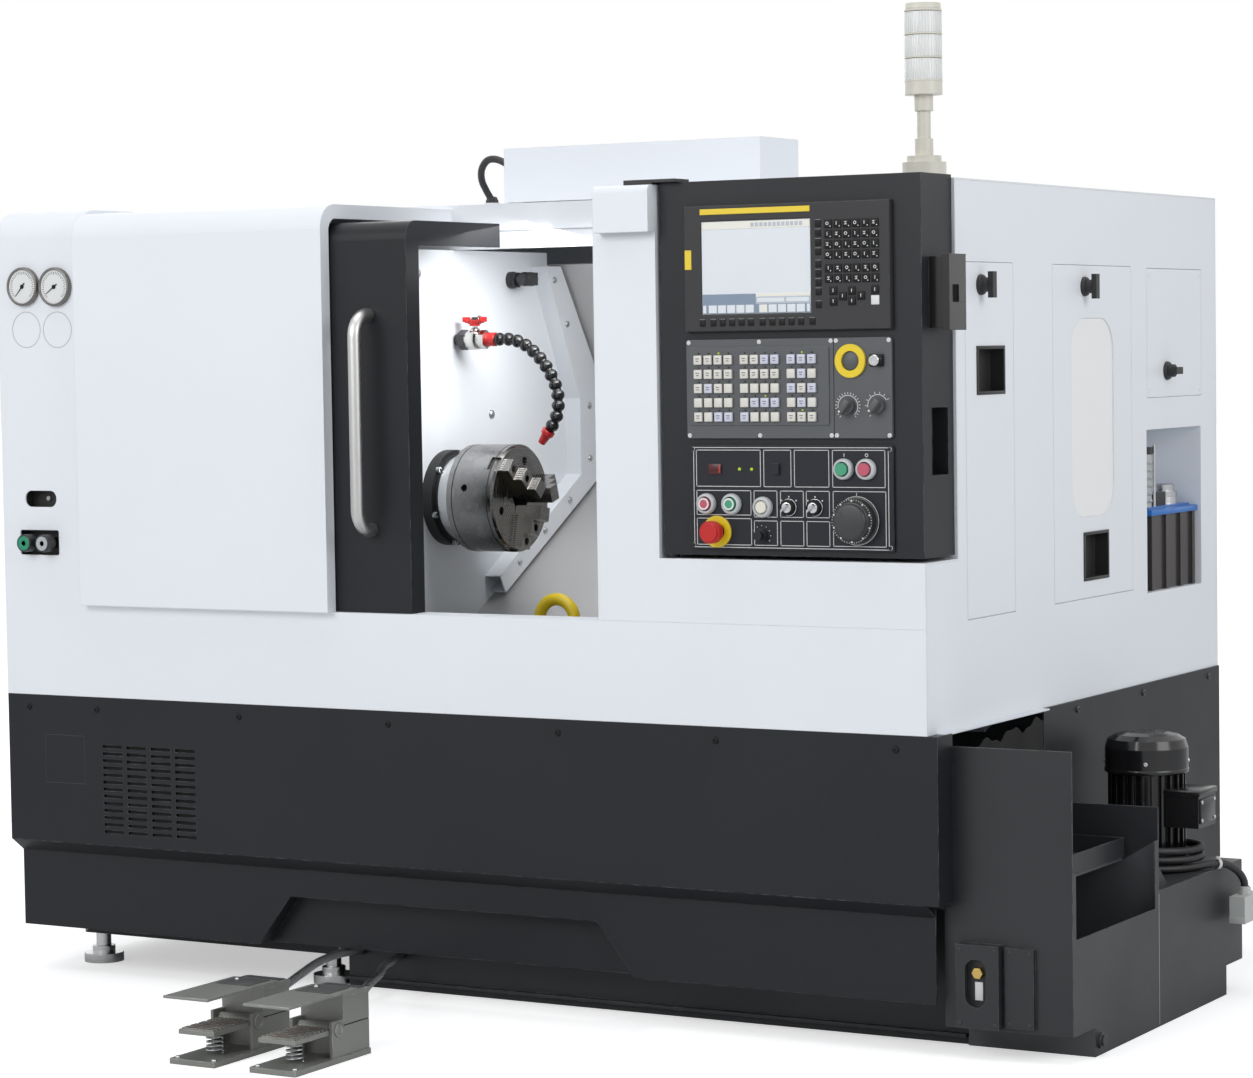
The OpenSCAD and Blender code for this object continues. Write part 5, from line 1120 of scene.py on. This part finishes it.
# Right side: two lift-out leaves with black quarter-turn knobs and pull pans, a pale
# window in the rear one, and a riveted hatch with a wing knob.
pane_pale = finish("pane_pale", (0.87, 0.87, 0.865), 0.45, grain=300, depth=0.00002, tone=0.01,
                   rough_swing=0.02)


def black_fittings(x, y, z):
    return x > BODY_W + 0.2 or x < BODY_W - SHEET - 4.5


def in_window(x, y, z):
    return BODY_W - SHEET - 4.2 < x < BODY_W - SHEET + 0.2 and 629 < y < 860 and 887 < z < 1285


dress("side_door_front", guard_white, (matt_black, black_fittings))
dress("service_hatch", guard_white, (matt_black, black_fittings))
dress("side_door_rear", guard_white, (matt_black, black_fittings), (pane_pale, in_window))
knob_rim = [(18.4, -0.2), (18.4, 3), (16.8, 6.6), (13, 7.4), (12.4, 17.5)]
for body, y, z in (("front_leaf", 237, 1331), ("rear_leaf", 706, 1331),
                   ("hatch_leaf", 1123, 1168)):
    bm = bmesh.new()
    add_turned(bm, (BODY_W, y, z), RIGHT, knob_rim, 32)
    built(body.replace("leaf", "latch_rim"), bm, body, matt_black, smooth=40)
for body, (y0, y1, z0, z1) in (("front_leaf", (222, 332, 1143, 1219)),
                               ("rear_leaf", (698, 810, 784, 866))):
    bm = bmesh.new()
    for lo, hi in (((y0 - 5, z0 - 5), (y1 + 5, z0 + 1)), ((y0 - 5, z1 - 1), (y1 + 5, z1 + 5)),
                   ((y0 - 5, z0 + 1), (y0 + 1, z1 - 1)), ((y1 - 1, z0 + 1), (y1 + 5, z1 - 1))):
        add_box(bm, (BODY_W - 0.3, *lo), (BODY_W + 2.2, *hi), 0.7)
    built(body + "_pull_rim", bm, body, matt_black, smooth=40)
rivets = [(BODY_W, y, z) for y in (1032, 1302) for z in (1128, 1357)]
set_out("hatch_rivets", rivets, shape_turned(RIGHT, [(4.6, -0.2), (4.4, 0.8), (3, 1.9), (0, 2.3)],
                                             14), "hatch_leaf", guard_white)
panel_screws = [(BODY_W + SHEET, y, 543) for y in (651, 981, 1336)]
set_out("base_side_screws", panel_screws, pan_head(RIGHT, 7.0), "frame", screw_dark)

# Lubrication unit: a ribbed brown oil tank with a blue rimmed lid, a bright ringed motor, a
# black block and a chrome filler cap, standing in a recess of the side panel.
lid_blue = finish("lid_blue", (0.02, 0.16, 0.52), 0.35, grain=300, depth=0.00005, tone=0.06)
LUBE_X, LUBE_Z = BODY_W - 58, 887
oil_tank = finish("oil_tank", (0.045, 0.038, 0.038), 0.25, grain=60, depth=0.0001, tone=0.15)
dress("lube_tank", oil_tank)
dress("lube_pump", steel_bright, (lid_blue, lambda x, y, z: z < LUBE_Z + 12.4),
      (matt_black, lambda x, y, z: 1149 < y < 1201 and z > LUBE_Z + 12.4 or z > LUBE_Z + 117))
bm = bmesh.new()
add_box(bm, (BODY_W - 113, 1056, LUBE_Z - 4), (BODY_W - 6, 1306, LUBE_Z + 7.5), 2.5, index=0)
for k in range(6):
    add_turned(bm, (LUBE_X, 1108, LUBE_Z + 20 + 15 * k), TOP,
               [(29.2, 0), (30.6, 1), (30.6, 5), (29.2, 6)], 40, 1)
add_turned(bm, (LUBE_X, 1250, LUBE_Z + 26), TOP, [(26.5, 0), (26.5, 11), (24.5, 12), (21, 12.4),
        (21, 24), (18, 26.5), (0, 27)], 40, 1)
built("lube_lid", bm, "frame", [lid_blue, chrome], smooth=40)

# Rubber flap: a black sheet with a ragged upper edge, riveted to the white lip of the
# side wall, that keeps splashes in the chip box.
flap_rubber = finish("flap_rubber", (0.006, 0.006, 0.006), 0.62, grain=500, depth=0.0003, tone=0.2,
                     shine=0.2)
verts, faces = [], []
count = 49
for i in range(count):
    y = 66 + 392 * i / (count - 1)
    top = 520 + 24 * i / count + 7 * sin(i * 0.46) + 3 * sin(i * 1.15 + 1)
    for z, out_by in ((top, 1.2 + 1.2 * sin(i * 0.4)), (506, 0), (470, 2 + 2 * sin(i * 0.33))):
        for t in (0, 2.2):
            verts.append(spot(BODY_W + 14.3 + out_by + t, y, z))
for i in range(count - 1):
    a, b = i * 6, i * 6 + 6
    for k in (0, 2):
        faces += [(a + k, a + k + 2, b + k + 2, b + k),
                  (a + k + 1, b + k + 1, b + k + 3, a + k + 3)]
    faces += [(a, b, b + 1, a + 1), (a + 4, a + 5, b + 5, b + 4)]
for a in (0, (count - 1) * 6):
    faces += [(a, a + 1, a + 3, a + 2), (a + 2, a + 3, a + 5, a + 4)]
bm = bmesh.new()
loose = [bm.verts.new(v) for v in verts]
for f in faces:
    bm.faces.new([loose[i] for i in f])
built("splash_flap", bm, "frame", flap_rubber, smooth=60)

# Level gauge and chip box fittings: a brass hexagon plug above a pale sight window, and
# small screws round the cover and bracket.
TANK_X, TANK_Z = 2260, 245
# Its light edge tint is partly wear and partly a painted highlight along the edges.
tank_dark = finish("tank_charcoal", (0.022, 0.0232, 0.0265), 0.40, grain=700, depth=0.0002,
                   tone=0.10, edge_tint=(0.20, 0.205, 0.21), rough_swing=0.08, edge=0.0018, shine=0.4)
chute_grey = finish("chute_grey", (0.075, 0.078, 0.085), 0.5, grain=500, depth=0.0002, tone=0.15)
dress("coolant_tank", tank_dark)
dress("chip_tray", tank_dark, (chute_grey, lambda x, y, z: 2023 < x < 2258.5 and 62.5 < y < 452.5
                               and z < 300))
brass = finish("brass", (0.60, 0.42, 0.14), 0.28, metal=1.0, grain=240, depth=0.00008, tone=0.12,
               edge=0.0006)
bm = bmesh.new()
add_turned(bm, (2088, 55, 150), FRONT, [(11.4, -0.5), (11.4, 6.6), (10, 8.4), (0, 8.4)], 6, 0)
add_box(bm, (2081, 53.5, 102), (2096, 56, 134), 0.6, index=1)
built("level_plug", bm, "frame", [brass, dial_white], smooth=30)
bm = bmesh.new()
add_box(bm, (TANK_X - 1, 453.8, 4), (TANK_X + 0.5, 455.4, 240), 0.4)
built("tank_seam", bm, "frame", line_grey)
places = [(x, 40, z) for x in (2058, 2124) for z in (64, 191)] + [(x, 52, z) for x in (2145, 2183)
        for z in (66, 189)]
set_out("gauge_cover_screws", places, pan_head(FRONT, 3.6), "frame", screw_dark)

# Coolant pump: gloss black motor with a slotted fan cover and a terminal box. Its cable
# is a black corrugated conduit with three turns round the pump foot, tied with a white
# strap over the tank edge, and it ends in a grey plug with brass contacts.
PUMP_X, PUMP_Y, COIL_R = TANK_X - 127, 720, 100
dress("coolant_pump", pump_gloss)
bm = bmesh.new()
top = TANK_Z + 254
# Small dark discs on the fan cover where its slots are: painted shade in the openings.
for k in range(16):
    t = 2 * pi * k / 16
    for r in (20, 34):
        add_turned(bm, (PUMP_X + r * cos(t), PUMP_Y + r * sin(t), top - 0.6), TOP,
                   [(3.4, 0), (3.4, 0.9), (0, 0.9)], 10, 1)
add_turned(bm, (PUMP_X, PUMP_Y, TANK_Z), TOP, [(77.6, 180), (78.8, 182), (78.8, 186), (77.6, 188)],
           64, 0)
add_turned(bm, (PUMP_X, PUMP_Y, TANK_Z), TOP, [(70, 20), (72.8, 21), (72.8, 30), (70, 31)], 64, 0)
built("fan_cover_trim", bm, "frame", [pump_gloss, dark_steel_and_slot_shade], smooth=40)
places, turns = [], []
for k in range(4):
    t = radians(20 + 90 * k)
    places.append((PUMP_X + 77.4 * cos(t), PUMP_Y + 77.4 * sin(t), TANK_Z + 200))
    turns.append((0, 0, t))
set_out("fan_cover_screws", places, pan_head(RIGHT, 4.5), "frame", screw_steel,
        turns)
bm = bmesh.new()
add_box(bm, (PUMP_X + 29, PUMP_Y - 45, TANK_Z + 143.5), (PUMP_X + 122, PUMP_Y + 49, TANK_Z + 153),
        3, index=0)
add_box(bm, (PUMP_X + 117, PUMP_Y - 36, TANK_Z + 90), (PUMP_X + 121, PUMP_Y + 40, TANK_Z + 136),
        1.5, index=0)
for y in (-30, 34):
    for z in (96, 130):
        add_turned(bm, (PUMP_X + 120.6, PUMP_Y + y, TANK_Z + z), RIGHT,
                   [(3.6, 0), (3.6, 1.4), (0, 2)], 14, 1)
built("terminal_lid", bm, "frame", [pump_gloss, screw_steel], smooth=40)
conduit_black = finish("conduit_black", (0.018, 0.018, 0.02), 0.42, grain=900, depth=0.0001,
                       tone=0.2)
lead = [(-47, 774, 106), (-47, 792, 105), (-56, 816, 98), (-82, 832, 83), (-114, 832, 64),
        (-144.4, 818.5, 51)]
tail = [(-36.4, 677.7, 7.5), (-23, 707, 7.5), (-8, 738, 9), (9, 768, 6), (24, 791, -9),
        (32, 803, -28), (33, 806, -46)]
cable = smooth_line([spot(TANK_X + x, y, TANK_Z + z) for x, y, z in lead], 12)[:-1]
start, turns = radians(100), 2 + 235 / 360
for k in range(121):
    t = k / 120
    a = start + turns * 2 * pi * t
    drop = 51 - 43.5 * t
    cable.append(spot(PUMP_X + COIL_R * cos(a), PUMP_Y + COIL_R * sin(a), TANK_Z + drop))
cable += smooth_line([spot(TANK_X + x, y, TANK_Z + z) for x, y, z in tail], 12)[1:]
cable = even_line(cable, 0.0022)
bead = [0.0075 if i % 2 else 0.0064 for i in range(len(cable))]
pump_cable = piece("pump_cable_conduit", swept("pump_cable_conduit", cable, bead, 12), "frame",
                   conduit_black)
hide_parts("pump_cable", "pump_cable_coil")
tie_white = finish("tie_white", (0.68, 0.68, 0.66), 0.4, grain=300, depth=0.00005, tone=0.04)
bm = bmesh.new()
strap_way = Vector((17, 30, -3)).normalized()
add_turned(bm, (TANK_X + 0.5, 753, TANK_Z + 8), strap_way,
           [(7.7, -3), (9.4, -3), (9.4, 3), (7.7, 3)], 28)
add_box(bm, (TANK_X - 3, 748, TANK_Z + 16), (TANK_X + 5, 755, TANK_Z + 22), 1)
strap = built("cable_strap", bm, "frame", tie_white, smooth=40)
plug_grey = finish("plug_grey", (0.50, 0.51, 0.50), 0.42, grain=400, depth=0.0001, tone=0.06)
dress("pump_plug", plug_grey)
bm = bmesh.new()
PLUG_X, PLUG_Y, PLUG_Z = TANK_X + 33, 806, TANK_Z - 46
for k in range(6):
    for x in (-6, 3):
        add_box(bm, (PLUG_X + x, PLUG_Y - 30 + 11 * k, PLUG_Z - 55),
                (PLUG_X + x + 3, PLUG_Y - 27 + 11 * k, PLUG_Z - 39), 0.4, index=1)
add_box(bm, (PLUG_X - 16, PLUG_Y - 43, PLUG_Z - 58.5), (PLUG_X + 16, PLUG_Y - 38, PLUG_Z - 46), 1,
        index=0)
add_box(bm, (PLUG_X - 16, PLUG_Y + 40, PLUG_Z - 58.5), (PLUG_X + 16, PLUG_Y + 45, PLUG_Z - 46), 1,
        index=0)
add_turned(bm, (PLUG_X, PLUG_Y, PLUG_Z), TOP, [(13.2, -9), (13.2, -3), (11.5, 0), (11.5, 5),
                                               (9, 7)], 8, 0)
contacts = built("plug_contacts", bm, "frame", [plug_grey, brass], smooth=30)

# Roof hose: a short black ribbed hose from the raised cover to the roof, which it enters
# through a hexagon gland with a sealing collar.
hose_black = finish("hose_black", (0.022, 0.022, 0.024), 0.5, grain=900, depth=0.0001, tone=0.2)
ROOF_Z = 1515
roof_route = [(824, 620, 78), (804, 621, 90), (780, 624, 99), (754, 632, 98), (732, 645, 82),
              (722, 660, 60), (725, 673, 38), (731, 681, 20), (732, 682, 4)]
roof_line = even_line(smooth_line([spot(x, y, ROOF_Z + z) for x, y, z in roof_route], 12), 0.0025)
roof_hose = piece("roof_hose_sleeve", swept("roof_hose_sleeve", roof_line,
                  [0.0075 if i % 2 else 0.0066 for i in range(len(roof_line))], 14),
                  "frame", hose_black)
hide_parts("roof_hose")
bm = bmesh.new()
add_turned(bm, (732, 682, ROOF_Z), TOP, [(10, 0), (10, 6)], 24)
add_turned(bm, (732, 682, ROOF_Z + 6), TOP, [(9, 0), (13, 0.6), (13, 13), (12, 14.5), (9.6, 20),
                                             (7.6, 21)], 6)
built("roof_gland", bm, "frame", matt_black, smooth=30)

# Signal tower: an ivory plastic foot and pole screwed to the roof, and three stacked
# clear lenses, ribbed on the outside.
ivory = finish("ivory_plastic", (0.66, 0.64, 0.56), 0.38, grain=400, depth=0.00006, tone=0.03)
dress("signal_tower", ivory)
lens_clear = finish("lens_clear", (0.80, 0.81, 0.80), 0.2, grain=90, depth=0.0001, tone=0.03)
dress("signal_lenses", lens_clear)
TOWER_X, TOWER_Y, LENS_R, LENS_STEP = BODY_W - 76, 174, 32, 40.6
places, turns = [], []
for k in range(3):
    for a in range(40):
        t = 2 * pi * a / 40
        places.append((TOWER_X + LENS_R * cos(t), TOWER_Y + LENS_R * sin(t),
                       ROOF_Z + 190 + LENS_STEP * k))
        turns.append((0, 0, t))
set_out("lens_ribs", places, shape_box((-0.8, -1.3, -17.5), (0.9, 1.3, 17.5), 0.5), "frame",
        lens_clear, turns)
bm = bmesh.new()
for k in range(4):
    add_turned(bm, (TOWER_X, TOWER_Y, ROOF_Z + 169 + LENS_STEP * k), TOP,
               [(31, 0), (33.4, 0.6), (33.4, 3.2), (31, 4)], 48)
add_turned(bm, (TOWER_X, TOWER_Y, ROOF_Z + 293), TOP, [(31.4, 3), (31.4, 9), (29, 12.4), (0, 13)],
           48)
built("tower_collars", bm, "frame", ivory, smooth=40)

# Rear and left sheets: painted pan-head screws along the edges, joints between the back
# sheets and a black rubber rim in the bar hole. The photo doesn't show these sides.
BODY_D, BAR_R = 1398, 55
across, deep = range(60, 2000, 317), range(110, 1380, 309)
for name, places, way, paint, slot in (
        ("back_screws", [(x, BODY_D, z) for x in across for z in (590, 1482)], BACK, guard_white,
         "white_paint"),
        ("left_screws", [(0, y, z) for y in deep for z in (590, 1440)], LEFT, guard_white,
         "white_paint"),
        ("base_back_screws", [(x, BODY_D, 535) for x in across], BACK, mark_dark, "black_paint"),
        ("base_left_screws", [(0, y, 535) for y in deep], LEFT, mark_dark, "black_paint")):
    set_out(name, places, pan_head(way, 6.4), "frame", paint)
bm = bmesh.new()
for x in (540, 1340):
    add_box(bm, (x - 0.9, BODY_D - 0.5, 562), (x + 0.9, BODY_D + 0.2, 1512))
built("back_joints", bm, "frame", line_grey)
bm = bmesh.new()
add_turned(bm, (0, AXIS_Y, AXIS_Z), LEFT, [(BAR_R - 3, -6), (BAR_R - 3, 2.4), (BAR_R, 4),
                                           (BAR_R + 6, 4), (BAR_R + 8, 2), (BAR_R + 8, -0.2)], 64)
built("bar_hole_rim", bm, "frame", matt_black, smooth=40)

# Foot pedals: grey painted castings with a shield plate over each treadle. The treadle is
# chequered, turns on a pin between two cheeks and stands on a coil spring.
pedal_alloy = finish("pedal_alloy", (0.25, 0.255, 0.235), 0.42, metal=0.35, grain=300,
                     depth=0.0003, tone=0.1, edge_tint=(0.7, 0.7, 0.7))
for name in ("treadle_left", "treadle_right"):
    dress(name, pedal_alloy)
stud_brown = finish("stud_brown", (0.17, 0.105, 0.09), 0.55, grain=500, depth=0.0002, tone=0.15)
lid_rubber = finish("lid_rubber", (0.05, 0.052, 0.052), 0.6, grain=500, depth=0.0003, tone=0.15)
dress("pedal_bodies", pedal_alloy, (dark_steel_and_slot_shade, lambda x, y, z: 61.9 < z < 64.1 and y > -437))
PEDAL_W, SPRING_Y, SPRING_R, COILS = 96, -522, 15, 5
for side, x0 in (("left", 842), ("right", 1013)):
    x1, middle = x0 + PEDAL_W, x0 + PEDAL_W // 2
    bm = bmesh.new()
    add_box(bm, (x0 + 8, -398, 117.5), (x1 - 8, -366, 119.6), 0.8, index=1)
    add_box(bm, (x0 + 12, -470, 121.4), (x1 - 12, -406, 123.2), 0.6, index=1)
    for k in range(7):
        add_box(bm, (x0 + 18 + 9 * k, -394, 119.2), (x0 + 23 + 9 * k, -370, 120.4), 0.5, index=1)
    add_box(bm, (x0 - 0.6, -605, 117.4), (x1 + 0.6, -600, 122.6), 1.4, index=0)
    for x, way in ((x0 + 3, LEFT), (x1 - 3, RIGHT)):
        add_turned(bm, (x, -455, 58), way, [(13, -0.2), (13, 2.2), (12, 3), (7.6, 3), (7.2, 1.6),
                                            (0, 1.6)], 32, 0)
    for x in (x0 + 9, x1 - 9):
        add_turned(bm, (x, -578, 10), TOP, [(4.6, -0.2), (4.6, 2), (3.8, 3), (0, 3.2)], 16, 2)
    add_turned(bm, (x0 + 26, -425, 122), TOP, [(4.4, -0.2), (4.4, 2.6), (3.6, 3.4), (1.6, 3.4),
                                               (1.6, 6), (0, 6)], 16, 2)
    add_turned(bm, (middle, -352, 86), BACK, [(12.4, -0.4), (12.4, 5), (11, 6.4), (8.6, 6.4)], 6,
               2)
    built("pedal_trim_" + side, bm, "frame", [pedal_alloy, lid_rubber, screw_steel],
          smooth=40)
    studs = [(x0 + 20 + 8 * c + (4 if r % 2 else 0), -569.5 + 12 * r, 61.9) for c in range(7)
             for r in range(9)]
    stud = bmesh.new()
    ring = [stud.verts.new(Vector(p) / 1000) for p in ((-3.4, 0, 0), (0, -2.4, 0), (3.4, 0, 0),
            (0, 2.4, 0))]
    peak = [stud.verts.new(Vector(p) / 1000) for p in ((-1.6, 0, 1.5), (0, -1.1, 1.5),
            (1.6, 0, 1.5), (0, 1.1, 1.5))]
    for i in range(4):
        stud.faces.new((ring[i], ring[(i + 1) % 4], peak[(i + 1) % 4], peak[i]))
    stud.faces.new(peak)
    stud.faces.new(ring[::-1])
    set_out("treadle_studs_" + side, studs, stud, side + "_treadle", stud_brown,
            smooth=10)
    wire = []
    for k in range(101):
        t = k / 100
        a = 2 * pi * COILS * t
        wire.append(spot(middle + SPRING_R * cos(a), SPRING_Y + SPRING_R * sin(a), 12 + 36.5 * t))
    spring = piece("pedal_spring_" + side, swept("pedal_spring_" + side, wire, 0.0016, 8), "frame",
                   screw_steel)
    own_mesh(spring)

# Pedal conduits: braided steel sleeves over a plastic core, clamped at the back of each
# pedal and at the front of the coolant tank.
braid = finish("conduit_braid", (0.50, 0.51, 0.52), 0.34, metal=1.0, grain=700, depth=0.0002,
               tone=0.25, edge_tint=(0.75, 0.75, 0.74))
new, link = braid.node_tree.nodes.new, braid.node_tree.links.new
along = new("ShaderNodeUVMap")
along.uv_map = "along"
plait = new("ShaderNodeMapping")
plait.inputs["Scale"].default_value = (10, 240, 1)
plait.inputs["Rotation"].default_value = (0, 0, 0.35)
weave = new("ShaderNodeTexWave")
weave.inputs["Scale"].default_value = 1.0
weave.inputs["Distortion"].default_value = 0.4
raised = new("ShaderNodeBump")
raised.inputs["Distance"].default_value = 0.0012
link(along.outputs[0], plait.inputs["Vector"])
link(plait.outputs[0], weave.inputs["Vector"])
link(weave.outputs["Fac"], raised.inputs["Height"])
link(raised.outputs["Normal"], braid.node_tree.nodes["Principled BSDF"].inputs["Normal"])
conduits = {
    "left": [(890, -352, 86), (884, -310, 90), (858, -220, 96), (807, -90, 94), (766, 30, 86),
             (745, 100, 78), (735, 164, 70)],
    "right": [(1061, -352, 86), (1052, -310, 88), (1007, -215, 90), (944, -90, 82), (892, 0, 77),
              (850, 90, 70), (822, 164, 66)]}
for side, route in conduits.items():
    line = even_line(smooth_line([spot(*p) for p in route], 12), 0.003)
    wraps = [0.008 if i % 2 else 0.0074 for i in range(len(line))]
    sleeve = piece("conduit_sleeve_" + side, swept("conduit_sleeve_" + side, line, wraps, 14),
                   "frame", braid)
    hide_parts("conduit_" + side)
